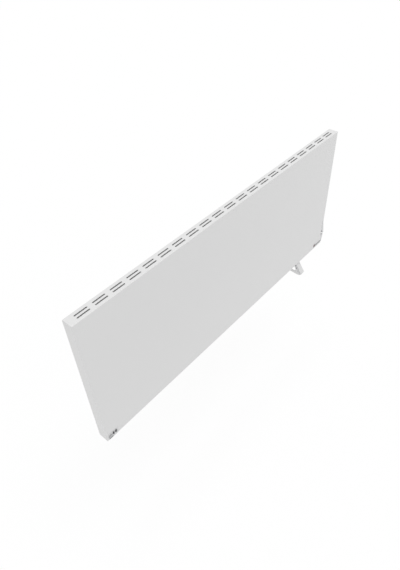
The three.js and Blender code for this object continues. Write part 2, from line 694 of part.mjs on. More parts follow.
function bushing() {
  const neck = HANGER_SHEET / 2 + GAP;
  const end = neck + BUSHING_COLLAR;
  const bore = ROD_RADIUS + GAP;
  const profile = [[bore, -end], [BUSHING_COLLAR_RADIUS, -end], [BUSHING_COLLAR_RADIUS, -neck], [BUSHING_NECK_RADIUS, -neck],
    [BUSHING_NECK_RADIUS, neck], [BUSHING_COLLAR_RADIUS, neck], [BUSHING_COLLAR_RADIUS, end], [bore, end], [bore, -end]];
  return turnedAlongX(profile, 0, 0, 12);
}

// ---------------------------------------------------------------- electrical pieces on the shield

const LIMITER_RISE = 48;
const LIMITER_Z = ELEMENT_HEIGHT_Z + LIMITER_RISE;
const TERMINAL_INSET = 105;
const TERMINAL_RISE = 22;
const TERMINAL_X = RIGHT_X - TERMINAL_INSET;
const TERMINAL_Z = SHIELD_BOTTOM + TERMINAL_RISE;
const TERMINAL_LENGTH = 48;
const TERMINAL_HEIGHT = 18;
const TERMINAL_DEPTH = 15;
const TERMINAL_POLES = 4;
const EARTH_OFFSET = 55;
const EARTH_X = TERMINAL_X - EARTH_OFFSET;

function limitThermostat() {
  const back = SHIELD_FRONT_Y - GAP;
  const cup = turnedAlongY([[0, back], [8, back], [8, back - 4], [6.4, back - 5.4], [6.4, back - 9], [0, back - 9]], 0, LIMITER_Z, 24);
  const ears = prism('y', stadium(0, LIMITER_Z, 34, 9, 4), back - 1.2, back);
  const tabs = [-1, 1].map((side) => block(side * 3.4 - 0.4, side * 3.4 + 0.4, back - 15, back - 8.5, LIMITER_Z - 3.15, LIMITER_Z + 3.15));
  return join(cup, ears, ...tabs);
}

function terminalPoleX(i) {
  return TERMINAL_X + (i - (TERMINAL_POLES - 1) / 2) * (TERMINAL_LENGTH / (TERMINAL_POLES + 0.4));
}

function terminalBlock() {
  const back = SHIELD_FRONT_Y - GAP;
  const half = TERMINAL_LENGTH / 2;
  const body = prism('y', roundedRectangle(TERMINAL_X - half, TERMINAL_X + half, TERMINAL_Z - TERMINAL_HEIGHT / 2,
    TERMINAL_Z + TERMINAL_HEIGHT / 2, 1.5), back - TERMINAL_DEPTH, back);
  const cutters = [];
  for (let i = 0; i < TERMINAL_POLES; i += 1) {
    const x = terminalPoleX(i);
    cutters.push(rod('y', x, TERMINAL_Z, back - TERMINAL_DEPTH - 1, back - 8, 2.9, 10));
    cutters.push(rod('z', x, back - 9, TERMINAL_Z - TERMINAL_HEIGHT, TERMINAL_Z + TERMINAL_HEIGHT, 2.1, 8));
  }
  for (let i = 0; i + 1 < TERMINAL_POLES; i += 1) {
    const x = (terminalPoleX(i) + terminalPoleX(i + 1)) / 2;
    cutters.push(block(x - 0.6, x + 0.6, back - TERMINAL_DEPTH - 1, back - 6, TERMINAL_Z - TERMINAL_HEIGHT, TERMINAL_Z + TERMINAL_HEIGHT));
  }
  const screws = [];
  for (let i = 0; i < TERMINAL_POLES; i += 1) {
    const x = terminalPoleX(i);
    const post = rod('y', x, TERMINAL_Z, back - TERMINAL_DEPTH + 1.5, back - 5, 2.5, 8);
    const drive = block(x - 3, x + 3, back - TERMINAL_DEPTH, back - TERMINAL_DEPTH + 2.3, TERMINAL_Z - 0.4, TERMINAL_Z + 0.4);
    screws.push(post.subtract(drive));
  }
  return join(cut(body, ...cutters), ...screws);
}

function earthStud() {
  const back = SHIELD_FRONT_Y - GAP;
  const washer = rod('y', EARTH_X, TERMINAL_Z, back - 1, back, 5, 16);
  const nut = rod('y', EARTH_X, TERMINAL_Z, back - 4.2, back - 0.9, 4, 6);
  const stud = rod('y', EARTH_X, TERMINAL_Z, back - 8, back - 1, 2, 12);
  return join(washer, nut, stud);
}

// ---------------------------------------------------------------- control module

function buttonOutline(index, grow) {
  const x = fromLeft(BUTTON_XS[index]);
  return stadium(x, fromBottom(BUTTON_Z), BUTTON_WIDTH + 2 * grow, BUTTON_HEIGHT + 2 * grow, 4);
}

function bezel() {
  const plate = prism('y', roundedRectangle(fromLeft(BEZEL_LEFT), fromLeft(BEZEL_RIGHT),
    fromBottom(BEZEL_BOTTOM), fromBottom(BEZEL_TOP), 2.5), BEZEL_FRONT_Y, FRONT_Y - 0.02);
  const inset = BEZEL_RIM + GAP;
  const spigot = prism('y', roundedRectangle(fromLeft(BEZEL_LEFT + inset), fromLeft(BEZEL_RIGHT - inset),
    fromBottom(BEZEL_BOTTOM + inset), fromBottom(BEZEL_TOP - inset), 1.5), BEZEL_FRONT_Y, BEZEL_BACK_Y);
  const dialHole = rod('y', fromLeft(DIAL_X), fromBottom(DIAL_Z), BEZEL_FRONT_Y - 1, BEZEL_BACK_Y + 1,
    DIAL_RADIUS + FLUTE_DEPTH + GAP, 28);
  const buttonHoles = [0, 1].map((i) => prism('y', buttonOutline(i, SLIDE_CLEARANCE), BEZEL_FRONT_Y - 1, BEZEL_BACK_Y + 1));
  return cut(join(plate, spigot), dialHole, ...buttonHoles);
}

function dial() {
  const x = fromLeft(DIAL_X);
  const z = fromBottom(DIAL_Z);
  const rim = [];
  const points = DIAL_FLUTES * 4;
  for (let i = 0; i < points; i += 1) {
    const angle = (2 * Math.PI * i) / points;
    const radius = DIAL_RADIUS + FLUTE_DEPTH * Math.cos(DIAL_FLUTES * angle);
    rim.push([x + radius * Math.cos(angle), z + radius * Math.sin(angle)]);
  }
  const front = BEZEL_FRONT_Y - DIAL_PROUD;
  const knob = prism('y', rim, front, FLANGE_FRONT_Y + 0.2);
  const flange = rod('y', x, z, FLANGE_FRONT_Y, FLANGE_BACK_Y, DIAL_RADIUS + FLANGE_RIM, 24);
  const shaft = rod('y', x, z, FLANGE_BACK_Y - 0.2, BOARD_FRONT_Y - ENCODER_DEPTH - GAP, 2.4, 12);
  const dish = turnedAlongY([[0, front - 1], [DIAL_RADIUS - 1, front - 1], [DIAL_RADIUS - 1, front + 0.1],
    [DIAL_RADIUS - 1.6, front + 0.6], [0, front + 0.6]], x, z, 24);
  const pointer = block(x - 0.5, x + 0.5, front - 1, front + 1.2, z + 2, z + DIAL_RADIUS + 1);
  return cut(join(knob, flange, shaft), dish, pointer);
}

function button(index) {
  const x = fromLeft(BUTTON_XS[index]);
  const z = fromBottom(BUTTON_Z);
  const front = BEZEL_FRONT_Y - BUTTON_PROUD;
  const cap = prism('y', buttonOutline(index, 0), front + 0.5, FLANGE_FRONT_Y + 0.2);
  const crown = prism('y', buttonOutline(index, -0.5), front, front + 0.6);
  const flange = prism('y', buttonOutline(index, FLANGE_RIM), FLANGE_FRONT_Y, FLANGE_BACK_Y);
  const stemEnd = BOARD_FRONT_Y - KEY_REACH - 2 * GAP - BUTTON_TRAVEL;
  const stem = rod('y', x, z, FLANGE_BACK_Y - 0.2, stemEnd, 1.5, 12);
  return join(cap, crown, flange, stem);
}

function housingBox() {
  return {
    x0: fromLeft(BEZEL_LEFT - HOUSING_REACH),
    x1: fromLeft(BEZEL_RIGHT + HOUSING_REACH),
    z0: fromBottom(SHELL_SHEET + GAP),
    z1: fromBottom(BEZEL_TOP + HOUSING_REACH),
  };
}

function controlHousing() {
  const { x0, x1, z0, z1 } = housingBox();
  const back = HOUSING_FRONT_Y + HOUSING_DEPTH;
  const body = prism('y', roundedRectangle(x0, x1, z0, z1, 2), INNER_FRONT_Y + GAP, back);
  const w = HOUSING_WALL;
  const cavity = prism('y', roundedRectangle(x0 + w, x1 - w, z0 + w, z1 - w, 1), INNER_FRONT_Y, back - w);
  const ledges = [[x0 + w / 2, x0 + w + HOUSING_LEDGE], [x1 - w - HOUSING_LEDGE, x1 - w / 2]].map(([a, b]) => block(a, b,
    BOARD_FRONT_Y + BOARD_THICKNESS + GAP, back - w / 2, z0 + w / 2, z1 - w / 2));
  const vents = [];
  for (let i = 0; i < HOUSING_VENTS; i += 1) {
    const x = (x0 + x1 - HOUSING_VENT_WIDTH) / 2 + (i - (HOUSING_VENTS - 1) / 2) * HOUSING_VENT_PITCH;
    vents.push(block(x, x + HOUSING_VENT_WIDTH, BOARD_FRONT_Y + BOARD_THICKNESS + 2 * w, back - 2 * w, z1 - 2 * w, z1 + 1));
  }
  const leadHole = rod('x', back - 3 * w, z1 - 5 * w, x1 - 4 * w, x1 + 1, LEAD_RADIUS + GAP, 12);
  return cut(join(cut(body, cavity), ...ledges), ...vents, leadHole);
}

function controlBoard() {
  const { x0, x1, z0, z1 } = housingBox();
  const inset = HOUSING_WALL + BOARD_CLEARANCE;
  const board = prism('y', roundedRectangle(x0 + inset, x1 - inset, z0 + inset, z1 - inset, 1),
    BOARD_FRONT_Y, BOARD_FRONT_Y + BOARD_THICKNESS);
  const back = BOARD_FRONT_Y + BOARD_THICKNESS - 0.1;
  const relay = block(x0 + 7.5, x0 + 17.5, back, back + 4.4, z0 + 5.5, z0 + 16.5);
  const chip = block(x0 + 21.5, x0 + 28.5, back, back + 1.4, z0 + 7.5, z0 + 14.5);
  const capacitor = rod('y', x0 + 32.5, z0 + 10.5, back, back + 3.6, 2.6, 12);
  return join(board, relay, chip, capacitor);
}

function dialEncoder() {
  const x = fromLeft(DIAL_X);
  const z = fromBottom(DIAL_Z);
  const back = BOARD_FRONT_Y - GAP;
  const half = ENCODER_SIZE / 2;
  return block(x - half, x + half, back - ENCODER_DEPTH + GAP, back, z - half, z + half);
}

function keySwitch(index) {
  const back = BOARD_FRONT_Y - GAP;
  const x = fromLeft(BUTTON_XS[index]);
  const z = fromBottom(BUTTON_Z);
  const half = KEY_SIZE / 2;
  const body = block(x - half, x + half, back - KEY_BODY, back, z - half, z + half);
  return body.add(rod('y', x, z, back - KEY_REACH, back - KEY_BODY + 0.1, 1.7, 10));
}

function sensorHolder() {
  const x = fromLeft(SENSOR_INSET);
  const z0 = fromBottom(SHELL_SHEET + GAP);
  const foot = SENSOR_FOOT / 2;
  const half = SENSOR_POST / 2;
  const top = z0 + SENSOR_HEIGHT;
  const base = block(x - foot, x + foot, CENTRE_Y - foot - 1, CENTRE_Y + foot + 1, z0, z0 + HOUSING_WALL);
  const post = prism('y', rounded([[x - half, z0 + 1, 0], [x + half, z0 + 1, 0], [x + half, top, 2], [x - half, top, 2]]),
    CENTRE_Y - half, CENTRE_Y + half);
  const seat = rod('y', x, z0 + SENSOR_RISE, CENTRE_Y - SENSOR_POST, CENTRE_Y + SENSOR_POST, SENSOR_RADIUS + GAP, 12);
  return cut(join(base, post), seat);
}

function roomSensor() {
  const x = fromLeft(SENSOR_INSET);
  const z = fromBottom(SHELL_SHEET + GAP) + SENSOR_RISE;
  const front = CENTRE_Y - SENSOR_POST;
  const back = CENTRE_Y + SENSOR_POST - 2;
  const bead = [[0, front], [SENSOR_RADIUS * 0.7, front + 0.4], [SENSOR_RADIUS, front + SENSOR_RADIUS],
    [SENSOR_RADIUS, back], [0, back]];
  return turnedAlongY(bead, x, z, 10);
}

// ---------------------------------------------------------------- status strip and side rocker

function statusStrip() {
  const flange = stripBody(0, FRONT_Y - STRIP_PROUD, FRONT_Y - 0.02);
  const spigot = stripBody(STRIP_RIM + GAP, FRONT_Y - STRIP_PROUD, FRONT_Y + STRIP_SPIGOT);
  const hole = rod('y', stripHeadX(), fromBottom(STRIP_HEAD_Z), FRONT_Y - 2, FRONT_Y + STRIP_SPIGOT + 1, LAMP_RADIUS + GAP, 20);
  return cut(join(flange, spigot), hole);
}

function statusLamp() {
  const front = FRONT_Y - STRIP_PROUD - LAMP_PROUD;
  const shoulder = front + LAMP_PROUD;
  const back = FRONT_Y + STRIP_SPIGOT + GAP;
  const profile = [[0, front], [LAMP_RADIUS * 0.5, front + 0.15], [LAMP_RADIUS * 0.85, front + 0.5], [LAMP_RADIUS, shoulder],
    [LAMP_RADIUS, back], [LAMP_RADIUS + 1.2, back], [LAMP_RADIUS + 1.2, back + 1], [LAMP_RADIUS - 0.6, back + 1],
    [LAMP_RADIUS - 0.6, FRONT_Y + LAMP_DEPTH], [0, FRONT_Y + LAMP_DEPTH]];
  return turnedAlongY(profile, stripHeadX(), fromBottom(STRIP_HEAD_Z), 16);
}

function rockerOutline() {
  return [[ROCKER_FACE, -ROCKER_HALF], [ROCKER_FACE, ROCKER_HALF], [ROCKER_EDGE, ROCKER_HALF],
    [ROCKER_KNEE_X, ROCKER_KNEE_Z], [ROCKER_HUB_X, ROCKER_HUB_Z], [ROCKER_HUB_X, -ROCKER_HUB_Z],
    [ROCKER_KNEE_X, -ROCKER_KNEE_Z], [ROCKER_EDGE, -ROCKER_HALF]];
}

// The cap's outer face swells out below the rocker and runs on beside the shell's end.
function capBulge(capBottom, top) {
  const foot = fromBottom(CAP_BULGE_BOTTOM);
  const root = RIGHT_X - EDGE_RADIUS;
  return prism('y', [[RIGHT_X + GAP, foot], [RIGHT_X + CAP_BULGE_FOOT, foot], [RIGHT_X + CAP_BULGE, top], [root, top],
    [root, capBottom], [RIGHT_X + GAP, capBottom]], FRONT_Y, CAP_BACK_Y);
}

function sideCap() {
  const z0 = fromBottom(CAP_BOTTOM);
  const z1 = fromBottom(CAP_TOP);
  const pivotZ = fromBottom(ROCKER_Z);
  const corner = prism('z', rounded([[CAP_LEFT_X, FRONT_Y, 0], [RIGHT_X, FRONT_Y, EDGE_RADIUS], [RIGHT_X, CAP_BACK_Y, 0],
    [CAP_LEFT_X, CAP_BACK_Y, 0]]), z0, z1);
  const skirt = block(SKIRT_LEFT_X, RIGHT_X - SHELL_SHEET - GAP, INNER_FRONT_Y + GAP, CAP_BACK_Y + 3.5, z0 + 1.5, z1 - 1.5);
  const wide = block(PIVOT_X + POCKET_SHALLOW_X, RIGHT_X + 1, FRONT_Y - 1, ROCKER_WALL_Y, pivotZ - POCKET_HALF, pivotZ + POCKET_HALF);
  const deep = block(PIVOT_X + POCKET_DEEP_X, RIGHT_X + 1, FRONT_Y - 1, ROCKER_WALL_Y, pivotZ - POCKET_DEEP_HALF, pivotZ + POCKET_DEEP_HALF);
  const stud = rod('y', PIVOT_X, pivotZ, ROCKER_WALL_Y - ROCKER_STUD_LENGTH, ROCKER_WALL_Y + 1, ROCKER_STUD_RADIUS, 16);
  return join(cut(join(corner, skirt), wide, deep), stud, capBulge(z0, pivotZ - POCKET_HALF));
}

// The rocker is built about its own pivot and placed tilted, lower end out.
function powerRocker() {
  const depth = ROCKER_WALL_Y - GAP - FRONT_Y;
  const body = prism('y', rockerOutline(), -depth, 0);
  const grooves = [-23, -19, -15, 15, 19, 23].map((z) => block(ROCKER_FACE - 0.6, ROCKER_FACE + 1, -depth + 2.5, -2, z - 0.8, z + 0.8));
  const bore = rod('y', 0, 0, -ROCKER_STUD_LENGTH - GAP, 1, ROCKER_STUD_RADIUS + GAP, 20);
  const frontEdge = block(ROCKER_FACE - 0.7, ROCKER_FACE + 1, -depth - 1, -depth + 0.7, -ROCKER_HALF - 1, ROCKER_HALF + 1);
  return cut(body, ...grooves, bore, frontEdge);
}

function switchBody() {
  const x1 = SKIRT_LEFT_X - GAP;
  const z = fromBottom(ROCKER_Z);
  const y0 = INNER_FRONT_Y + GAP;
  const y1 = CAP_BACK_Y;
  const housing = prism('x', roundedRectangle(y0, y1, z - SWITCH_TALL / 2, z + SWITCH_TALL / 2, 1.5), x1 - SWITCH_LENGTH, x1);
  const latches = [-1, 1].map((side) => block(x1 - 6, x1 - 1, (y0 + y1) / 2 - 4, (y0 + y1) / 2 + 4,
    z + side * (SWITCH_TALL / 2 + 0.4) - 0.9, z + side * (SWITCH_TALL / 2 + 0.4) + 0.9));
  const y = (y0 + y1) / 2;
  const tabs = [-9, 0, 9].map((offset) => {
    const end = x1 - SWITCH_LENGTH;
    const blade = block(end - 8, end + 1, y - 3.15, y + 3.15, z + offset - 0.4, z + offset + 0.4);
    return blade.subtract(rod('z', end - 5, y, z + offset - 2, z + offset + 2, 0.9, 10));
  });
  return join(housing, ...latches, ...tabs);
}

// ---------------------------------------------------------------- wall bracket

function wallHoles() {
  const places = [];
  for (const x of [-RAIL_X, RAIL_X]) {
    for (const z of [WALL_HOLE_INNER_Z, RAIL_HALF_HEIGHT - WALL_HOLE_END_MARGIN]) {
      places.push([x, -z], [x, z]);
    }
  }
  places.push([-WALL_HOLE_BAR_X, 0], [WALL_HOLE_BAR_X, 0]);
  return places.map(([x, z]) => prism('y', stadium(x, z, 2 * WALL_HOLE_RADIUS, WALL_HOLE_LENGTH, 1), -BRACKET_SHEET - 1, 1));
}

// Side web of a rail with its hook, whose nose turns up behind the rear cover.
function web(x) {
  const reach = BACK_Y + GAP;
  const noseBack = COVER_FRONT_Y - HOOK_REACH;
  const noseFront = noseBack - HOOK_NOSE_DEPTH;
  const half = RAIL_HALF_HEIGHT;
  const outline = [[0, -half], [0, half], [reach * 0.45, half], [reach, half - 14],
    [reach, HOOK_Z + HOOK_NECK], [noseBack, HOOK_Z + HOOK_NECK], [noseBack, HOOK_Z + HOOK_NECK + HOOK_NOSE],
    [noseFront, HOOK_Z + HOOK_NECK + HOOK_NOSE - 2], [noseFront, HOOK_Z + 3], [noseBack, HOOK_Z], [reach, HOOK_Z],
    [reach, HOOK_Z - 40], [reach * 0.45, HOOK_Z - 50], [reach * 0.45, -half + 60], [reach, -half + 50], [reach, -half + 12],
    [reach * 0.6, -half]];
  const thick = BRACKET_SHEET / 2;
  return prism('x', outline.reverse(), x - thick, x + thick);
}

function armEars() {
  const z = ARM_PIVOT_Z;
  const gap = GAP;
  const ears = [[ARM_LEFT - gap - BRACKET_SHEET, ARM_LEFT - gap], [ARM_RIGHT + gap, ARM_RIGHT + gap + BRACKET_SHEET]];
  return ears.map(([x0, x1]) => {
    const outline = rounded([[0, z - 12, 0], [ARM_PIVOT_Y - 6, z - 7, 5], [ARM_PIVOT_Y - 6, z + 7, 5], [0, z + 14, 0]]);
    const ear = prism('x', outline, x0, x1);
    return ear.subtract(rod('x', ARM_PIVOT_Y, z, x0 - 1, x1 + 1, ARM_PIN_RADIUS + GAP, 16));
  });
}

function wallBracket() {
  const sheet = BRACKET_SHEET;
  const half = RAIL_WIDTH / 2;
  const rails = [-RAIL_X, RAIL_X].map((x) => block(x - half, x + half, -sheet, 0, -RAIL_HALF_HEIGHT, RAIL_HALF_HEIGHT));
  const tail = prism('y', rounded([[RAIL_X - half, -RAIL_HALF_HEIGHT + 1, 0], [ARM_LEFT - 6, ARM_PIVOT_Z - 12, 4],
    [ARM_RIGHT + 6, ARM_PIVOT_Z - 12, 4], [RAIL_X + half, -RAIL_HALF_HEIGHT + 1, 0]]), -sheet, 0);
  const crossbar = block(-RAIL_X, RAIL_X, -sheet, 0, -CROSSBAR_HEIGHT / 2, CROSSBAR_HEIGHT / 2);
  const folds = [-1, 1].map((side) => {
    const z = side * (CROSSBAR_HEIGHT / 2) - (side > 0 ? sheet : 0);
    return block(-RAIL_X + half - 0.5, RAIL_X - half + 0.5, -6, 0, z, z + sheet);
  });
  const webs = webCentres().map((x) => web(x));
  return cut(join(...rails, tail, crossbar, ...folds, ...webs, ...armEars()), ...wallHoles());
}

// ---------------------------------------------------------------- locking arm

// Side outline of the arm's left flange in (y, z): pivot eye, thin bar, front bend and slanted leg.
function armFlangeOutline() {
  const z = (drop) => BOTTOM_Z - drop;
  return rounded([[ARM_PIVOT_Y + 3, z(ARM_PIVOT_DROP + 4), 2], [ARM_PIVOT_Y + 3, z(ARM_PIVOT_DROP - 4), 2],
    [ARM_TIP_Y + 24, z(ARM_PIVOT_DROP - 4), 8],
    [ARM_TOP_Y + ARM_FLANGE_WIDTH - 2, z(ARM_TOP_DROP + 6), 3],
    [ARM_TOP_Y + ARM_FLANGE_WIDTH - 3, z(ARM_TOP_DROP), 0],
    [ARM_TOP_Y, z(ARM_TOP_DROP), 0],
    [ARM_TIP_Y, z(ARM_TIP_DROP - 4), 6],
    [ARM_TIP_Y + 5, z(ARM_TIP_DROP + 3), 4],
    [ARM_TIP_Y + 20, z(ARM_TIP_DROP + 5.5), 5],
    [ARM_PIVOT_Y - 12, z(ARM_TIP_DROP + 2), 4]]);
}

function lockArm() {
  const flange = prism('x', armFlangeOutline(), ARM_LEFT, ARM_LEFT + ARM_SHEET);
  const root = ARM_LEFT + ARM_SHEET / 3;
  const slope = new THREE.Vector2(ARM_TOP_Y - ARM_TIP_Y, ARM_TIP_DROP - 4 - ARM_TOP_DROP).normalize();
  const offset = new THREE.Vector2(slope.y, -slope.x).multiplyScalar(ARM_SHEET);
  const low = [ARM_TIP_Y + 1.5 * slope.x, BOTTOM_Z - ARM_TIP_DROP + 4 + 1.5 * slope.y];
  const high = [ARM_TOP_Y, BOTTOM_Z - ARM_TOP_DROP];
  const leg = prism('x', [low, high, [high[0] + offset.x, high[1]], [low[0] + offset.x, low[1] + offset.y]].reverse(),
    root, ARM_RIGHT);
  const shelf = block(root, ARM_RIGHT - 0.1, ARM_TOP_Y, ARM_TOP_Y + ARM_SHELF, BOTTOM_Z - ARM_TOP_DROP - ARM_SHEET + 1,
    BOTTOM_Z - ARM_TOP_DROP + 1);
  const hem = prism('x', circle(ARM_TIP_Y + 3.4, BOTTOM_Z - ARM_TIP_DROP + 3, 3.2, 16), root + 0.1, ARM_RIGHT - 0.2);
  const sleeve = prism('x', circle(ARM_PIVOT_Y, ARM_PIVOT_Z, ARM_SLEEVE_RADIUS, 20), root + 0.2, ARM_RIGHT);
  const bore = rod('x', ARM_PIVOT_Y, ARM_PIVOT_Z, ARM_LEFT - 1, ARM_RIGHT + 1, ARM_PIN_RADIUS + GAP, 16);
  const rivetHoles = rivetPlaces().map(([y, z]) => rod('x', y, z, ARM_LEFT - 1, ARM_LEFT + ARM_SHEET + 1, RIVET_RADIUS * 0.6 + GAP, 12));
  return cut(join(flange, leg, shelf, hem, sleeve), bore, ...rivetHoles);
}

function rivetPlaces() {
  return [[ARM_TOP_Y - 1.6, BOTTOM_Z - 18.5], [ARM_TOP_Y - 7, BOTTOM_Z - 27.5]];
}

function armRivet([y, z]) {
  const back = ARM_LEFT - GAP;
  const end = ARM_LEFT + ARM_SHEET + GAP;
  const stem = RIVET_RADIUS * 0.6;
  return turnedAlongX([[0, back - RIVET_HEAD], [stem, back - RIVET_HEAD], [RIVET_RADIUS, back - RIVET_HEAD * 0.4],
    [RIVET_RADIUS, back], [stem, back], [stem, end], [RIVET_RADIUS, end], [RIVET_RADIUS, end + 0.8], [0, end + 0.8]], y, z, 12);
}

function armPin() {
  const left = ARM_LEFT - 2 * GAP - BRACKET_SHEET;
  const right = ARM_RIGHT + 2 * GAP + BRACKET_SHEET;
  const head = ARM_PIN_RADIUS + 1.6;
  return turnedAlongX([[0, left - 1.6], [head - 0.6, left - 1.6], [head, left - 1], [head, left], [ARM_PIN_RADIUS, left],
    [ARM_PIN_RADIUS, right], [head, right], [head, right + 1], [head - 0.6, right + 1.6], [0, right + 1.6]],
  ARM_PIVOT_Y, ARM_PIVOT_Z, 14);
}

function armPad() {
  const z0 = BOTTOM_Z - ARM_TOP_DROP + 1 + GAP;
  const inset = 1.5;
  return prism('z', roundedRectangle(ARM_LEFT + inset, ARM_RIGHT - inset, ARM_TOP_Y + 1, ARM_TOP_Y + ARM_SHELF - 1, 2),
    z0, Math.min(z0 + ARM_PAD_HEIGHT + GAP, BOTTOM_Z - GAP));
}

// ---------------------------------------------------------------- assembly

place('front_shell', frontShell(), WHITE_ENAMEL);
place('rear_cover', rearCover(), ZINC);
coverScrewPlaces().forEach(([x, z], i) => {
  const fastener = place(`cover_screw_${i + 1}`, screw(BACK_Y + GAP - LIP_FRONT_Y + COVER_SCREW_BITE), ZINC);
  fastener.position.set(x, BACK_Y + GAP, z);
});
place('cable_gland', cableGland(), DARK_PLASTIC);

place('heat_shield', heatShield(), BARE_ALUMINIUM);
shieldScrewPlaces().forEach(([x, z], i) => {
  const seat = SHIELD_FRONT_Y - GAP;
  const fastener = place(`shield_screw_${i + 1}`, screw(BACK_Y - seat - 0.2), ZINC);
  fastener.position.set(x, seat, z);
  fastener.rotation.z = Math.PI;
});

for (const [side, startX] of [['left', -ELEMENT_INNER_END - ELEMENT_LENGTH], ['right', ELEMENT_INNER_END]]) {
  const bank = new THREE.Group();
  bank.position.set(startX, CENTRE_Y, ELEMENT_HEIGHT_Z);
  heater.add(bank);
  place(`element_${side}`, element(), BARE_ALUMINIUM, bank);
  const core = place(`element_rod_${side}`, heaterRod(), DARK_STEEL, bank);
  core.position.x = -ROD_OVERHANG;
}

hangerPlaces().forEach((x, i) => {
  const hangerMesh = place(`element_hanger_${i + 1}`, hanger(hangerFootSide(x)), ZINC);
  hangerMesh.position.set(x, CENTRE_Y, ELEMENT_HEIGHT_Z);
  const bushingMesh = place(`rod_bushing_${i + 1}`, bushing(), CERAMIC);
  bushingMesh.position.set(x, CENTRE_Y, ELEMENT_HEIGHT_Z);
});

place('limit_thermostat', limitThermostat(), DARK_PLASTIC);
place('terminal_block', terminalBlock(), LIGHT_PLASTIC);
place('earth_stud', earthStud(), BRASS);

place('control_bezel', bezel(), GREY_PLASTIC);
place('control_dial', dial(), LIGHT_PLASTIC);
place('button_left', button(0), DARK_PLASTIC);
place('button_right', button(1), DARK_PLASTIC);
place('control_housing', controlHousing(), DARK_PLASTIC);
place('control_board', controlBoard(), BOARD_GREEN);
place('dial_encoder', dialEncoder(), ZINC);
place('key_switch_left', keySwitch(0), DARK_PLASTIC);
place('key_switch_right', keySwitch(1), DARK_PLASTIC);
place('sensor_holder', sensorHolder(), LIGHT_PLASTIC);
place('room_sensor', roomSensor(), BRASS);

place('status_strip', statusStrip(), DARK_PLASTIC);
place('status_lamp', statusLamp(), RED_LENS);
place('side_cap', sideCap(), GREY_PLASTIC);
const rocker = place('power_rocker', powerRocker(), GREY_PLASTIC);
rocker.position.set(PIVOT_X, ROCKER_WALL_Y - GAP, fromBottom(ROCKER_Z));
rocker.rotation.y = THREE.MathUtils.degToRad(-ROCKER_TILT);
place('switch_body', switchBody(), DARK_PLASTIC);

place('wall_bracket', wallBracket(), WHITE_ENAMEL);
place('lock_arm', lockArm(), WHITE_ENAMEL);
rivetPlaces().forEach((spot, i) => {
  place(`arm_rivet_${i + 1}`, armRivet(spot), DARK_STEEL);
});
place('arm_pin', armPin(), ZINC);
place('arm_pad', armPad(), RUBBER);

export default heater;
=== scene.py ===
"""Looks of the wall panel convector heater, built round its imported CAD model.

Sizes are in metres in the model's frame: +X runs along the panel, +Y goes into the wall, +Z is up.
"""

import json
import logging
import math
from collections.abc import Callable, Sequence
from dataclasses import dataclass, field
from enum import Enum, StrEnum, auto
from functools import cache

import bmesh
import bpy
from mathutils import Matrix, Vector

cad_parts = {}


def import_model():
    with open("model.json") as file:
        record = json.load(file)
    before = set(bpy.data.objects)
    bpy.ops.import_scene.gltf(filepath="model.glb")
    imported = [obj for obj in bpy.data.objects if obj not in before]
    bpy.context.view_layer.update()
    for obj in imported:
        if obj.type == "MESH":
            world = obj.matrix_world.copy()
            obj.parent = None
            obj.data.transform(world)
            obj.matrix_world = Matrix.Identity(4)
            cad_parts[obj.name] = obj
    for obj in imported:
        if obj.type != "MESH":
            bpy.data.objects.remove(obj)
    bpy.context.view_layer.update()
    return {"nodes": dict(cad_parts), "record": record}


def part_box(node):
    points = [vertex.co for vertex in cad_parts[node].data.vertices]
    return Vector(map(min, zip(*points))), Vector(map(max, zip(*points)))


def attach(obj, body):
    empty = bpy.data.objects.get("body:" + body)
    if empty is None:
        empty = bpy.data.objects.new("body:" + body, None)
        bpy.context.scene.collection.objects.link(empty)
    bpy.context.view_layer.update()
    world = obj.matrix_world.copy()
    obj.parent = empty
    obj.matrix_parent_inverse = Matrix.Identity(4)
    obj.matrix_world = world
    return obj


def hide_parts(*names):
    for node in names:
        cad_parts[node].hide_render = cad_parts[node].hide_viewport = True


log = logging.getLogger("panel_heater")

Colour = tuple[float, float, float]
Opaque = tuple[float, float, float, float]
Point = tuple[float, float, float]
Pair = tuple[float, float]
Outline = list[Pair]
GrowingOutline = Callable[[float], Outline]
Levels = Sequence[Pair]
Piece = bpy.types.Object
Material = bpy.types.Material
Node = bpy.types.Node
Socket = bpy.types.NodeSocket
Inputs = dict[str | int, object]

MM = 0.001
WHITE: Opaque = (1.0, 1.0, 1.0, 1.0)


# ---- node trees


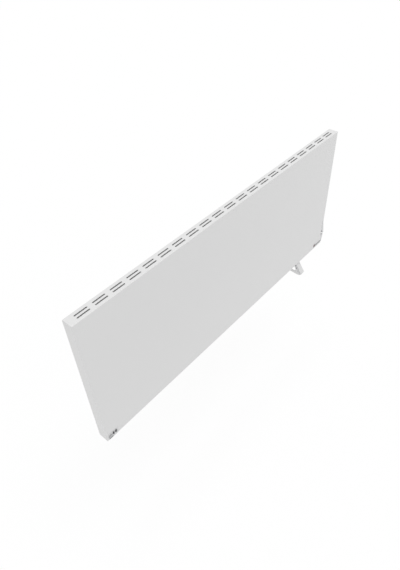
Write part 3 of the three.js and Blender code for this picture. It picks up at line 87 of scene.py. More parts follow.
class NodeGraph:
    """The node tree of a material or a world under construction."""

    BEVEL_SAMPLES = 4
    FACE_LIKENESS = 0.995
    EDGE_LIKENESS = 0.86
    MIX_FACTOR, MIX_FIRST, MIX_SECOND, MIX_RESULT = 0, 6, 7, 2

    def __init__(self, owner: Material | bpy.types.World) -> None:
        """Turns on the owner's nodes."""
        owner.use_nodes = True
        self.tree = owner.node_tree

    def feed(self, node: Node, inputs: Inputs) -> None:
        """Gives a node's inputs their constants and links.

        Args:
            node: The node.
            inputs: Constants, and outputs to link, by the name or the number of the input.
        """
        for key, value in inputs.items():
            if isinstance(value, Socket):
                self.tree.links.new(value, node.inputs[key])
            else:
                node.inputs[key].default_value = value

    def node(self, kind: str, inputs: Inputs, **settings: str | int) -> Node:
        """Adds a node.

        Args:
            kind: Its type.
            inputs: Constants, and outputs to link, by the name or the number of the input.
            settings: Values of its own properties.

        Returns:
            The node.
        """
        made = self.tree.nodes.new(kind)
        for key, value in settings.items():
            setattr(made, key, value)
        self.feed(made, inputs)
        return made

    def spread(self, value: Socket, low: float, high: float) -> Socket:
        """A value of 0 to 1 mapped onto low to high."""
        inputs = {"Value": value, "To Min": low, "To Max": high}
        return self.node("ShaderNodeMapRange", inputs).outputs["Result"]

    def shades(self, factor: Socket, first: Opaque | Socket, second: Opaque) -> Socket:
        """A mix of two colours, all first where the factor is 0 and all second where it is 1."""
        inputs = {self.MIX_FACTOR: factor, self.MIX_FIRST: first, self.MIX_SECOND: second}
        return self.node("ShaderNodeMix", inputs, data_type="RGBA").outputs[self.MIX_RESULT]

    def rounded_normal(self, radius: float) -> Socket:
        """The surface normal with every edge rounded."""
        return self.node("ShaderNodeBevel", {"Radius": radius}, samples=self.BEVEL_SAMPLES).outputs["Normal"]

    def edge_highlight_mask(self, radius: float) -> Socket:
        """How far a point's rounded normal turns from its flat one: 0 on a face and up to 1 on an edge, which
        masks the painted edge highlight.

        Args:
            radius: Width of the edge zone.

        Returns:
            The edge factor.
        """
        flat = self.node("ShaderNodeNewGeometry", {}).outputs["Normal"]
        pair = {0: self.rounded_normal(radius), 1: flat}
        likeness = self.node("ShaderNodeVectorMath", pair, operation="DOT_PRODUCT").outputs["Value"]
        inputs = {"Value": likeness, "From Min": self.FACE_LIKENESS, "From Max": self.EDGE_LIKENESS}
        return self.node("ShaderNodeMapRange", inputs).outputs["Result"]

    def relief(self, height: Socket, depth: float, edge_radius: float) -> Socket:
        """The normal of a fine relief of some depth on softly rounded edges."""
        inputs = {"Height": height, "Distance": depth, "Normal": self.rounded_normal(edge_radius)}
        return self.node("ShaderNodeBump", inputs).outputs["Normal"]

    def end(self, factor: Socket, first: Node, second: Node, output: str) -> None:
        """Mixes two shaders into the node of that name which ends the tree."""
        mix = self.node("ShaderNodeMixShader", {0: factor, 1: first.outputs[0], 2: second.outputs[0]})
        self.feed(self.tree.nodes[output], {"Surface": mix.outputs[0]})


@dataclass(frozen=True)
class Noise:
    """Smooth noise, about 0.5 on average."""

    per_metre: float
    detail: float = 2.0
    stretch: Point | None = None

    def draw(self, graph: NodeGraph, place: Socket) -> Socket:
        """Adds the noise to a tree.

        Args:
            graph: The tree.
            place: The coordinates that it lies in.

        Returns:
            The noise value.
        """
        if self.stretch:
            stretched = graph.node("ShaderNodeMapping", {"Vector": place, "Scale": self.stretch})
            place = stretched.outputs["Vector"]
        inputs = {"Vector": place, "Scale": self.per_metre, "Detail": self.detail}
        return graph.node("ShaderNodeTexNoise", inputs).outputs["Fac"]


@dataclass(frozen=True)
class Crystals:
    """Flat cells, each of one random grey level."""

    per_metre: float

    def draw(self, graph: NodeGraph, place: Socket) -> Socket:
        """Adds the cells to a tree in the given coordinates."""
        cells = graph.node("ShaderNodeTexVoronoi", {"Vector": place, "Scale": self.per_metre})
        return graph.node("ShaderNodeSeparateColor", {"Color": cells.outputs["Color"]}).outputs["Red"]


Pattern = Noise | Crystals


# ---- finishes


def opaque(colour: Colour, share: float = 1.0, lift: float = 0.0) -> Opaque:
    """An opaque colour made darker or lighter, up to white."""
    return (*(min(1.0, part * share + lift) for part in colour), 1.0)


@dataclass(frozen=True)
class Finish:
    """A named look, whose colour, roughness and relief each follow a pattern in object space."""

    name: str
    colour: Colour
    low_share: float = 1.0
    high_share: float = 1.0
    high_lift: float = 0.0
    # Colour share on rounded edges: a painted highlight where it is above 1.
    edge_highlight_share: float | None = None
    roughness: float = 0.42
    smoother: float = 0.06
    rougher: float = 0.12
    metallic: float = 0.0
    coat: float = 0.0
    coat_roughness: float = 0.06
    tint: Pattern = Noise(500.0)
    wear: Pattern | None = None
    skin: Pattern = Noise(900.0)
    skin_depth: float = 0.006 * MM
    edge_radius: float = 0.3 * MM

    def low_colour(self) -> Opaque:
        """The colour where the tint is 0."""
        return opaque(self.colour, self.low_share)

    @cache
    def material(self) -> Material:
        """Builds the node material with its one Principled shader, on the first call only.

        Returns:
            The material.
        """
        material = bpy.data.materials.new(self.name)
        graph = NodeGraph(material)
        place = graph.node("ShaderNodeTexCoord", {}).outputs["Object"]
        patterns = [pattern for pattern in (self.tint, self.wear, self.skin) if pattern]
        drawn = {pattern: pattern.draw(graph, place) for pattern in dict.fromkeys(patterns)}
        high_colour = opaque(self.colour, self.high_share, self.high_lift)
        colour = graph.shades(drawn[self.tint], self.low_colour(), high_colour)
        # Rounded edges are painted lighter: a painted highlight.
        if self.edge_highlight_share:
            edge_highlight = graph.edge_highlight_mask(self.edge_radius)
            colour = graph.shades(edge_highlight, colour, opaque(self.colour, self.edge_highlight_share))
        roughness = self.roughness
        if self.wear:
            roughness = graph.spread(drawn[self.wear], roughness - self.smoother, roughness + self.rougher)
        graph.feed(graph.tree.nodes["Principled BSDF"], {
            "Base Color": colour,
            "Roughness": roughness,
            "Metallic": self.metallic,
            "Coat Weight": self.coat,
            "Coat Roughness": self.coat_roughness,
            "Normal": graph.relief(drawn[self.skin], self.skin_depth, self.edge_radius),
        })
        return material


@dataclass(frozen=True)
class Enamel(Finish):
    """Baked powder enamel on sheet steel: nearly even, with a fine orange-peel skin and a painted highlight
    on its edges.
    """

    low_share: float = 0.975
    # Edges painted 12 % lighter: a painted highlight.
    edge_highlight_share: float | None = 1.12
    smoother: float = 0.05
    rougher: float = 0.05
    tint: Pattern = Noise(2.5, 3.0)
    wear: Pattern | None = Noise(14.0, 3.0)
    skin_depth: float = 0.002 * MM
    edge_radius: float = 0.5 * MM


@dataclass(frozen=True)
class Moulded(Finish):
    """Moulded plastic, rubber or ceramic with a fine grain."""

    high_share: float = 1.1
    high_lift: float = 0.003
    rougher: float = 0.08
    tint: Pattern = Noise(60.0, 4.0)
    wear: Pattern | None = Noise(220.0)
    skin: Pattern = Noise(2600.0, 1.0)
    skin_depth: float = 0.02 * MM
    edge_radius: float = 0.25 * MM


@dataclass(frozen=True)
class RolledMetal(Finish):
    """Bare rolled or drawn metal with fine lines along one axis."""

    low_share: float = 0.82
    roughness: float = 0.34
    metallic: float = 1.0
    tint: Pattern = Noise(6.0, 4.0, (3.0, 260.0, 260.0))
    wear: Pattern | None = tint
    skin: Pattern = tint


@dataclass(frozen=True)
class ZincSheet(Finish):
    """Galvanised sheet with a faint crystal pattern."""

    low_share: float = 0.93
    smoother: float = 0.03
    rougher: float = 0.04
    metallic: float = 0.9
    tint: Pattern = Crystals(130.0)
    wear: Pattern | None = Crystals(130.0)
    skin: Pattern = Noise(700.0, 3.0)
    skin_depth: float = 0.008 * MM

    @classmethod
    def small(cls, name: str, colour: Colour, crystals_per_metre: float) -> "ZincSheet":
        """Zinc on a small piece, with smaller crystals."""
        crystals = Crystals(crystals_per_metre)
        return cls(name, colour, tint=crystals, wear=crystals)


@dataclass(frozen=True)
class RedLens(Finish):
    """Tinted lamp lens, smooth and glossy."""

    deep_colour: Colour = (0.1, 0.01, 0.018)
    roughness: float = 0.16
    coat: float = 0.6
    skin: Pattern = Noise(900.0, 1.0)
    skin_depth: float = 0.004 * MM

    def low_colour(self) -> Opaque:
        """The colour where the tint is 0."""
        return opaque(self.deep_colour)


class Body(StrEnum):
    """The CAD bodies that pieces move with; each value is the name in small letters."""

    HEATER = auto()
    DIAL = auto()
    LEFT_BUTTON = auto()
    RIGHT_BUTTON = auto()
    ROCKER = auto()
    ARM = auto()


class Slot(StrEnum):
    """The record's material slots; each value is the name in small letters."""

    WHITE_ENAMEL = auto()
    ZINC_STEEL = auto()
    BARE_ALUMINIUM = auto()
    DARK_STEEL = auto()
    CERAMIC_BUSH = auto()
    DARK_PLASTIC = auto()
    GREY_PLASTIC = auto()
    LIGHT_PLASTIC = auto()
    BOARD_LAMINATE = auto()
    BRASS_FITTING = auto()
    RED_LENS = auto()
    PAD_RUBBER = auto()


FINISHES: dict[Slot, Finish] = {
    Slot.WHITE_ENAMEL: Enamel("white_enamel_skin", (0.71, 0.71, 0.71)),
    Slot.ZINC_STEEL: ZincSheet("zinc_sheet_skin", (0.62, 0.63, 0.64)),
    Slot.BARE_ALUMINIUM: RolledMetal("mill_aluminium_skin", (0.76, 0.765, 0.77)),
    Slot.DARK_STEEL: RolledMetal("oxidised_steel_skin", (0.2, 0.2, 0.21), roughness=0.42),
    Slot.CERAMIC_BUSH: Moulded(
        "unglazed_ceramic_skin", (0.76, 0.71, 0.6), roughness=0.7, skin_depth=0.04 * MM),
    Slot.DARK_PLASTIC: Moulded("dark_plastic_skin", (0.032, 0.033, 0.036), roughness=0.42),
    Slot.GREY_PLASTIC: Moulded("grey_plastic_skin", (0.46, 0.465, 0.47), roughness=0.48),
    Slot.LIGHT_PLASTIC: Moulded("light_plastic_skin", (0.66, 0.665, 0.67), roughness=0.4),
    Slot.BOARD_LAMINATE: Moulded(
        "board_laminate_skin", (0.02, 0.14, 0.07), roughness=0.35, skin=Noise(900.0, 1.0)),
    Slot.BRASS_FITTING: RolledMetal("bright_brass_skin", (0.78, 0.57, 0.25), roughness=0.28),
    Slot.RED_LENS: RedLens("red_lens_skin", (0.2, 0.02, 0.035)),
    Slot.PAD_RUBBER: Moulded(
        "pad_rubber_skin", (0.045, 0.045, 0.047), roughness=0.78, skin_depth=0.05 * MM),
}

# A darker copy of the white enamel: painted shade on the collars inside the slots.
SHADED_COLLAR_ENAMEL = Enamel("collar_enamel_skin", (0.56, 0.56, 0.56))
SCREW_ZINC = ZincSheet.small("screw_zinc_skin", (0.56, 0.565, 0.58), 1400.0)
# Zinc for the arm's side plate; its grey also paints the shade on the arm's left flange.
ZINC_AND_SHADE_PLATE = ZincSheet.small("plate_zinc_skin", (0.66, 0.665, 0.67), 260.0)
RIVET_STEEL = RolledMetal("rivet_steel_skin", (0.3, 0.3, 0.31), roughness=0.44)
BUTTON_DARK = Moulded("left_button_skin", (0.05, 0.051, 0.054), roughness=0.46)
BUTTON_GREY = Moulded("right_button_skin", (0.1, 0.101, 0.104), roughness=0.46)
# Dark smoked plastic of the window under the dial, which also paints the shadow that the dial casts.
SMOKED_SHADOW_PLASTIC = Moulded("smoked_plastic_skin", (0.15, 0.152, 0.158), roughness=0.3, skin_depth=0.004 * MM)
# Grey of the gasket round the dial, which also paints the shade in the gap round the dial.
GASKET_AND_SHADE_GREY = Moulded("gasket_skin", (0.48, 0.482, 0.486), roughness=0.6)
DIAL_PLASTIC = Moulded("dial_plastic_skin", (0.46, 0.465, 0.47), roughness=0.42)
# Dark grey of the status strip, and of the button rims, where it paints the shade round each button.
STRIP_AND_RIM_SHADE_PLASTIC = Moulded("strip_plastic_skin", (0.3, 0.302, 0.306), roughness=0.44)
EDGE_PLASTIC = Moulded("edge_plastic_skin", (0.62, 0.622, 0.626), roughness=0.46)
BEZEL_PLASTIC = Moulded("bezel_plastic_skin", (0.6, 0.602, 0.606), roughness=0.46)
NODE_FINISHES: dict[str, Finish] = {
    "status_strip": STRIP_AND_RIM_SHADE_PLASTIC,
    "side_cap": EDGE_PLASTIC,
    "control_bezel": BEZEL_PLASTIC,
}


def dress_nodes(frame: dict) -> None:
    """Gives every CAD node its own finish, or else the one of its slot in the record.
    """
    for row in frame["record"]["subparts"]:
        materials = frame["nodes"][row["node"]].data.materials
        materials.clear()
        finish = NODE_FINISHES.get(row["node"], FINISHES[Slot(row["material_slot"])])
        materials.append(finish.material())


# ---- outlines and solids


CURVE_SIDES = 4
QUARTERS = ((1, 1), (-1, 1), (-1, -1), (1, -1))
LONGEST_CURVE = 1 / 2.2
SHARPEST_MITRE = 0.2
RING_WALL, RING_CREST = 0.4, 0.3


class Facing(Enum):
    """The way a fitting's outer side looks: its own right, up and outward axes."""

    FRONT = ((1, 0, 0), (0, 0, 1), (0, -1, 0))
    BACK = ((-1, 0, 0), (0, 0, 1), (0, 1, 0))
    TOP = ((1, 0, 0), (0, 1, 0), (0, 0, 1))
    BOTTOM = ((1, 0, 0), (0, -1, 0), (0, 0, -1))
    LEFT = ((0, -1, 0), (0, 0, 1), (-1, 0, 0))


@dataclass(frozen=True)
class Seat:
    """A place on the frame with its own right, up and outward axes."""

    origin: Vector
    axes: tuple[Point, Point, Point]

    @classmethod
    def on(cls, facing: Facing, origin: Sequence[float] = (0.0, 0.0, 0.0)) -> "Seat":
        """A seat whose outer side looks along one of the frame's axes."""
        return cls(Vector(origin), facing.value)

    @classmethod
    def before(cls, node: str, face_of: str | None = None) -> "Seat":
        """A seat before a node's middle, on that node's front or on another node's."""
        return cls.on(Facing.FRONT, (middle(node).x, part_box(face_of or node)[0].y, middle(node).z))

    @classmethod
    def towards(cls, start: Vector, end: Vector) -> "Seat":
        """A seat at one point that looks at another."""
        turn = (end - start).to_track_quat("Z", "Y")
        return cls(start, tuple(tuple(turn @ Vector(axis)) for axis in Facing.TOP.value))

    def at(self, across: float, along: float, out: float) -> Vector:
        """The model point at some distance right, up and outward of the seat."""
        right, up, outward = (Vector(axis) for axis in self.axes)
        return self.origin + across * right + along * up + out * outward


def middle(node: str) -> Vector:
    """The middle of a CAD node's box."""
    low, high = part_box(node)
    return (low + high) / 2


def extent(node: str) -> Vector:
    """The size of a CAD node's box."""
    low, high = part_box(node)
    return high - low


def mm(*steps: Pair) -> Levels:
    """Levels whose growth and outward level are given in millimetres."""
    return tuple((grow * MM, out * MM) for grow, out in steps)


def raised(levels: Levels, rise: float) -> Levels:
    """Levels moved outward."""
    return [(grow, out + rise) for grow, out in levels]


def inset_ring(width: float, depth: float, proud: Point, shoulder: float = 0.8) -> Levels:
    """A ring's section: a wall in a face and a band on it, proud at its shoulder, crest and inner edge."""
    shares = (0.0, RING_WALL, RING_WALL, 1.0, shoulder, RING_CREST, 0.0)
    return tuple((share * width, out) for share, out in zip(shares, (-depth, -depth, 0.0, 0.0, *proud)))


def circle(radius: float, sides: int) -> GrowingOutline:
    """Round outlines of a radius."""
    ways = [(math.cos(turn), math.sin(turn)) for turn in (2 * math.pi * i / sides for i in range(sides))]
    return lambda grow: [((radius + grow) * x, (radius + grow) * y) for x, y in ways]


def arcs(centres: Sequence[Pair], radius: float, sides: int = CURVE_SIDES, start: float = 0.0) -> Outline:
    """Equal arcs round some centres, one after the other, which make a full turn together.

    Args:
        centres: The middle of each arc, anticlockwise.
        radius: Their radius.
        sides: Sides of each arc.
        start: The angle at which the first arc starts.

    Returns:
        The points of all the arcs.
    """
    span = 2 * math.pi / len(centres)
    points = []
    for order, (x, y) in enumerate(centres):
        turns = [start + span * (order + i / sides) for i in range(sides + 1)]
        points += [(x + radius * math.cos(turn), y + radius * math.sin(turn)) for turn in turns]
    return points


def stadium(width: float, height: float, end_sides: int = 8) -> GrowingOutline:
    """Outlines with two straight sides and two half-round ends.

    Args:
        width: Size along the first axis.
        height: Size along the second axis.
        end_sides: Sides of each end.

    Returns:
        The outline round its own middle, for every growth.
    """
    radius = min(width, height) / 2
    reach = max(width, height) / 2 - radius
    if height > width:
        return lambda grow: arcs([(0.0, reach), (0.0, -reach)], radius + grow, end_sides)
    return lambda grow: arcs([(reach, 0.0), (-reach, 0.0)], radius + grow, end_sides, -math.pi / 2)


def box(width: float, height: float, radius: float, radius_growth: float = 1.0) -> GrowingOutline:
    """Rectangles with rounded corners.

    Args:
        width: Size along the first axis.
        height: Size along the second axis.
        radius: Corner radius.
        radius_growth: How much the radius gains for each unit of growth.

    Returns:
        The outline round its own middle, for every growth.
    """

    def outline(grow: float) -> Outline:
        """The points at one growth."""
        r = radius + radius_growth * grow
        return arcs([(x * (width / 2 + grow - r), y * (height / 2 + grow - r)) for x, y in QUARTERS], r)

    return outline


def cross(reach: float, half_width: float) -> Outline:
    """The plus-shaped outline of a cross-head driver.

    Args:
        reach: Half the length of each bar.
        half_width: Half its width.

    Returns:
        The corner points.
    """
    a, b = reach, half_width
    return [(a, -b), (a, b), (b, b), (b, a), (-b, a), (-b, b),
            (-a, b), (-a, -b), (-b, -b), (-b, -a), (b, -a), (b, -b)]


def grown(outline: Outline, amount: float) -> Outline:
    """An outline with every side moved outward.

    Args:
        outline: Points that run anticlockwise.
        amount: How far each side moves; negative moves it inward.

    Returns:
        The new points, one for each old one.
    """
    points = []
    for i, corner in enumerate(outline):
        here, following = Vector(corner), Vector(outline[(i + 1) % len(outline)])
        before = (here - Vector(outline[i - 1])).normalized()
        after = (following - here).normalized()
        mitre = Vector((before.y + after.y, -before.x - after.x))
        points.append(tuple(here + mitre * amount / max(SHARPEST_MITRE, 1.0 + before.dot(after))))
    return points


def turned(outline: Outline, angle: float) -> Outline:
    """An outline turned anticlockwise about its own middle."""
    c, s = math.cos(angle), math.sin(angle)
    return [(c * x - s * y, s * x + c * y) for x, y in outline]


def moved(outline: Outline, across: float, along: float) -> Outline:
    """An outline moved right and up."""
    return [(x + across, y + along) for x, y in outline]


def softened(outline: Outline, reach: float) -> Outline:
    """An outline with every corner replaced by a curve.

    Args:
        outline: The corner points.
        reach: How far from its corner a curve starts.

    Returns:
        The points of the curved outline.
    """
    points = []
    for i, corner in enumerate(outline):
        here = Vector(corner)
        back, ahead = Vector(outline[i - 1]) - here, Vector(outline[(i + 1) % len(outline)]) - here
        start = here + back.normalized() * min(reach, back.length * LONGEST_CURVE)
        end = here + ahead.normalized() * min(reach, ahead.length * LONGEST_CURVE)
        for k in range(CURVE_SIDES + 1):
            t = k / CURVE_SIDES
            points.append(tuple(start * (1 - t) ** 2 + here * 2 * t * (1 - t) + end * t * t))
    return points


def placed(name: str, data: bpy.types.ID) -> Piece:
    """Adds an object to the scene.

    Args:
        name: Its name.
        data: Its mesh, lamp or camera.

    Returns:
        The object.
    """
    made = bpy.data.objects.new(name, data)
    bpy.context.scene.collection.objects.link(made)
    return made


def baked(piece: Piece) -> bpy.types.Mesh:
    """The mesh that an object's modifiers make of it."""
    graph = bpy.context.evaluated_depsgraph_get()
    return bpy.data.meshes.new_from_object(piece.evaluated_get(graph))


@dataclass
class Solid:
    """Closed forms under construction on one seat, which become one mesh of that name."""

    name: str
    seat: Seat
    mesh: bmesh.types.BMesh = field(default_factory=bmesh.new)
    tool: "Solid | None" = None

    def _add(self, outline: GrowingOutline, levels: Levels, closed: bool) -> "Solid":
        """Adds one loop of points for each level, joined side by side.

        Args:
            outline: Gives the outline for a growth.
            levels: The growth and the outward level of each step.
            closed: Whether the last level joins the first; both ends are flat otherwise.

        Returns:
            This solid, for further forms.
        """
        rings = [[self.mesh.verts.new(self.seat.at(x, y, out)) for x, y in outline(grow)]
                 for grow, out in levels]
        for low, high in zip(rings, rings[1:] + rings[:1] if closed else rings[1:]):
            for i in range(len(low)):
                self.mesh.faces.new((low[i - 1], low[i], high[i], high[i - 1]))
        if not closed:
            self.mesh.faces.new(rings[0])
            self.mesh.faces.new(rings[-1])
        return self

    def stack(self, outline: GrowingOutline, levels: Levels) -> "Solid":
        """Adds stacked outlines, flat at both ends."""
        return self._add(outline, levels, closed=False)

    def sleeve(self, outline: GrowingOutline, levels: Levels) -> "Solid":
        """Adds a ring, whose last level joins its first."""
        return self._add(outline, levels, closed=True)

    def without(self, tool: "Solid") -> "Solid":
        """Has another solid taken out when this one becomes an object."""
        self.tool = tool
        return self

    def piece(self) -> Piece:
        """Turns the forms into an object of the scene.

        Returns:
            The object.
        """
        bmesh.ops.recalc_face_normals(self.mesh, faces=self.mesh.faces)
        data = bpy.data.meshes.new(self.name)
        self.mesh.to_mesh(data)
        self.mesh.free()
        made = placed(self.name, data)
        return carve(made, self.tool.piece()) if self.tool else made


def carve(blank: Piece, tool: Piece) -> Piece:
    """Cuts one object out of another and bakes the result.

    Args:
        blank: The object that is cut.
        tool: The object that is taken out; it is deleted.

    Returns:
        The cut object.
    """
    cut = blank.modifiers.new("cut", "BOOLEAN")
    cut.operation = "DIFFERENCE"
    cut.solver = "EXACT"
    cut.object = tool
    blank.data = baked(blank)
    blank.modifiers.clear()
    bpy.data.objects.remove(tool)
    return blank


# ---- repeated units


@dataclass(frozen=True)
class Row:
    """Places of a repeated unit: a start, the step to each next place, and the turn added at each."""

    count: int
    start: Point
    step: Point = (0.0, 0.0, 0.0)
    turn: Point = (0.0, 0.0, 0.0)


def ring(count: int, start: Sequence[float], step_angle: float | None = None) -> Row:
    """A unit turned round the frame's Y axis, a full circle where no angle is given."""
    return Row(count, tuple(start), turn=(0.0, step_angle or 2 * math.pi / count, 0.0))


class Repeater:
    """Geometry Nodes that repeat one unit along rows and round rings."""

    INPUTS = {
        "Unit": "NodeSocketObject",
        "Count": "NodeSocketInt",
        "Start": "NodeSocketVector",
        "Step": "NodeSocketVector",
        "Turn": "NodeSocketVector",
        "Material": "NodeSocketMaterial",
    }

    def __init__(self) -> None:
        """Builds the node group and keeps the identifiers of its inputs."""
        self.group = bpy.data.node_groups.new("repeat_unit", "GeometryNodeTree")
        face = self.group.interface
        self.sockets = {name: face.new_socket(name, in_out="INPUT", socket_type=kind).identifier
                        for name, kind in self.INPUTS.items()}
        face.new_socket("Geometry", in_out="OUTPUT", socket_type="NodeSocketGeometry")
        given, places, index, turn, unit, spread, solid, finish, result = map(self.group.nodes.new, (
            "NodeGroupInput", "GeometryNodeMeshLine", "GeometryNodeInputIndex", "ShaderNodeVectorMath",
            "GeometryNodeObjectInfo", "GeometryNodeInstanceOnPoints", "GeometryNodeRealizeInstances",
            "GeometryNodeSetMaterial", "NodeGroupOutput"))
        places.mode = "OFFSET"
        turn.operation = "SCALE"
        for source, target in (
            (given.outputs["Unit"], unit.inputs["Object"]),
            (given.outputs["Count"], places.inputs["Count"]),
            (given.outputs["Start"], places.inputs["Start Location"]),
            (given.outputs["Step"], places.inputs["Offset"]),
            (given.outputs["Turn"], turn.inputs[0]),
            (index.outputs[0], turn.inputs["Scale"]),
            (places.outputs["Mesh"], spread.inputs["Points"]),
            (unit.outputs["Geometry"], spread.inputs["Instance"]),
            (turn.outputs["Vector"], spread.inputs["Rotation"]),
            (spread.outputs["Instances"], solid.inputs[0]),
            (solid.outputs[0], finish.inputs["Geometry"]),
            (given.outputs["Material"], finish.inputs["Material"]),
            (finish.outputs[0], result.inputs[0]),
        ):
            self.group.links.new(source, target)

    def piece(self, unit: Piece, rows: Sequence[Row], material: Material) -> Piece:
        """Repeats a unit at every place of the rows, as one plain mesh.

        Args:
            unit: The object that is repeated; it is deleted, and the result takes its name.
            rows: Where it goes.
            material: The material of the result.

        Returns:
            The object with all the copies.
        """
        name = unit.name
        unit.name = f"{name}_unit"
        carrier = placed(name, bpy.data.meshes.new(name))
        whole = bmesh.new()
        for row in rows:
            modifier = carrier.modifiers.new("repeat", "NODES")
            modifier.node_group = self.group
            values = (unit, row.count, row.start, row.step, row.turn, material)
            for key, value in zip(self.INPUTS, values):
                modifier[self.sockets[key]] = value
            part = baked(carrier)
            whole.from_mesh(part)
            bpy.data.meshes.remove(part)
            carrier.modifiers.clear()
        whole.to_mesh(carrier.data)
        whole.free()
        bpy.data.objects.remove(unit)
        return carrier


@dataclass(frozen=True)
class Assembly:
    """Pieces that belong together, and the repeater for the repeated ones."""

    repeater: Repeater

    def fit(self, form: Solid, body: Body, slot: Slot, finish: Finish | None = None,
            replaces: Sequence[str] = (), rows: Sequence[Row] = (), smooth_below: float = 35.0) -> None:
        """Makes a piece and gives it its finish and its body.

        Args:
            form: The solid it consists of, or the unit that is repeated.
            body: The CAD body that it moves with.
            slot: The record's material slot it belongs to.
            finish: A finish of its own, where the slot's isn't the one.
            replaces: The CAD nodes that it stands for.
            rows: Where the unit goes, if it is repeated.
            smooth_below: Edges that turn less than this many degrees are shaded smooth.
        """
        material = (finish or FINISHES[slot]).material()
        piece = form.piece()
        if rows:
            piece = self.repeater.piece(piece, rows, material)
        data = piece.data
        data.materials.clear()
        data.materials.append(material)
        data.polygons.foreach_set("material_index", [0] * len(data.polygons))
        data.shade_smooth()
        data.set_sharp_from_angle(angle=math.radians(smooth_below))
        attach(piece, body.value)
        if replaces:
            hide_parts(*replaces)
        log.info("%s: %d faces on %s", piece.name, len(data.polygons), body.value)


# ---- sheet openings and screws


@dataclass(frozen=True)
class SlotRows(Assembly):
    """Two equal rows of slots in a sheet, each with a drawn collar behind it and a rolled rim round it; the
    collars' darker enamel is painted shade inside the slots.

    The rim reaches into the slot by a share of the sheet.
    """

    name: str
    facing: Facing
    count: int
    pitch: float
    length: float
    row_offset: float
    sheet: float
    depth: float
    width: float = 5.0 * MM
    clearance: float = 0.02 * MM
    collar_start: Levels = mm((0.0, 0.0), (0.55, 0.0))
    collar_lip: Levels = mm((0.55, 0.25), (0.275, 0.0), (0.0, 0.25))
    rim_reach: float = 0.9
    rim_shift: float = 0.2 * MM
    rim: Levels = mm((-0.4, 0.09), (-0.16, 0.27), (0.225, 0.3), (0.5625, 0.15), (0.75, -0.02))

    def build(self, centre: Vector) -> None:
        """Makes the collars and the rims of both rows.

        Args:
            centre: The middle between the two rows, on the sheet's outer side.
        """
        seat = Seat.on(self.facing)
        first = -(self.count - 1) / 2 * self.pitch
        back = -self.sheet - self.clearance
        collar = [*raised(self.collar_start, back), *raised(self.collar_lip, back - self.depth)]
        rim = [(self.rim[0][0], -self.rim_reach * self.sheet), *self.rim]
        for part, levels, offset, finish in (
            ("collars", collar, self.row_offset, SHADED_COLLAR_ENAMEL),
            ("rims", rim, self.row_offset + self.rim_shift, None),
        ):
            starts = [centre + seat.at(0, side * offset, 0) for side in (-1, 1)]
            rows = [Row(self.count, (first, start.y, start.z), (self.pitch, 0.0, 0.0)) for start in starts]
            unit = Solid(f"{self.name}_{part}", seat).sleeve(stadium(self.length, self.width), levels)
            self.fit(unit, Body.HEATER, Slot.WHITE_ENAMEL, finish, rows=rows)


@dataclass(frozen=True)
class SheetOpenings(Assembly):
    """The collars and rims of the outlet grille, the intake below and the rear vents."""

    shell_sheet: float = 1.2 * MM
    cover_sheet: float = 1.0 * MM
    row_offset: float = 5.25 * MM
    vent_row_offset: float = 222.0 * MM

    def build(self) -> None:
        """Makes the three groups of slots."""
        low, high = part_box("front_shell")
        centre = middle("front_shell")
        grille = SlotRows(self.repeater, "grille", Facing.TOP, count=21, pitch=55.5 * MM, length=41.0 * MM,
                          row_offset=self.row_offset, sheet=self.shell_sheet, depth=6.4 * MM)
        intake = SlotRows(self.repeater, "intake", Facing.BOTTOM, count=9, pitch=111.0 * MM, length=96.0 * MM,
                          row_offset=self.row_offset, sheet=self.shell_sheet, depth=3.2 * MM)
        vents = SlotRows(self.repeater, "vent", Facing.BACK, count=12, pitch=60.0 * MM, length=46.0 * MM,
                         row_offset=self.vent_row_offset, sheet=self.cover_sheet, depth=1.6 * MM)
        grille.build(Vector((0, centre.y, high.z)))
        intake.build(Vector((0, centre.y, low.z)))
        vents.build(Vector((0, high.y, centre.z)))


@dataclass(frozen=True)
class CoverScrews(Assembly):
    """Pan-head screws with a cross recess along the rear cover's edge."""

    shank_radius: float = 1.6 * MM
    tip_inset: float = 0.3 * MM
    tip_length: float = 0.6 * MM
    head: Levels = mm((-0.1, -1.7), (0.0, -1.6), (0.0, -0.935), (-0.35, -0.374), (-0.95, -0.085), (-1.7, 0.0))
    sides: int = 28
    recess_reach: float = 1.75 * MM
    recess_half_width: float = 0.42 * MM
    recess: Levels = mm((-0.48, -1.05), (0.0, 0.2))
    nodes: tuple[str, ...] = tuple(f"cover_screw_{i}" for i in range(1, 9))

    def build(self) -> None:
        """Makes one screw and sets it at every cover screw's place."""
        size = extent(self.nodes[0])
        shank = self.shank_radius - size.x / 2
        seat = Seat.on(Facing.BACK)
        driver = Solid("driver", seat).stack(
            lambda grow: cross(self.recess_reach + grow, self.recess_half_width + grow / 2), self.recess)
        screw = Solid("cover_screws", seat).without(driver).stack(circle(size.x / 2, self.sides), [
            (shank - self.tip_inset, -size.y), (shank, self.tip_length - size.y),
            (shank, self.head[0][1]), *self.head])
        rows = [Row(1, tuple(middle(node) + Vector((0, size.y / 2, 0)))) for node in self.nodes]
        self.fit(screw, Body.HEATER, Slot.ZINC_STEEL, SCREW_ZINC, self.nodes, rows)


# ---- control module


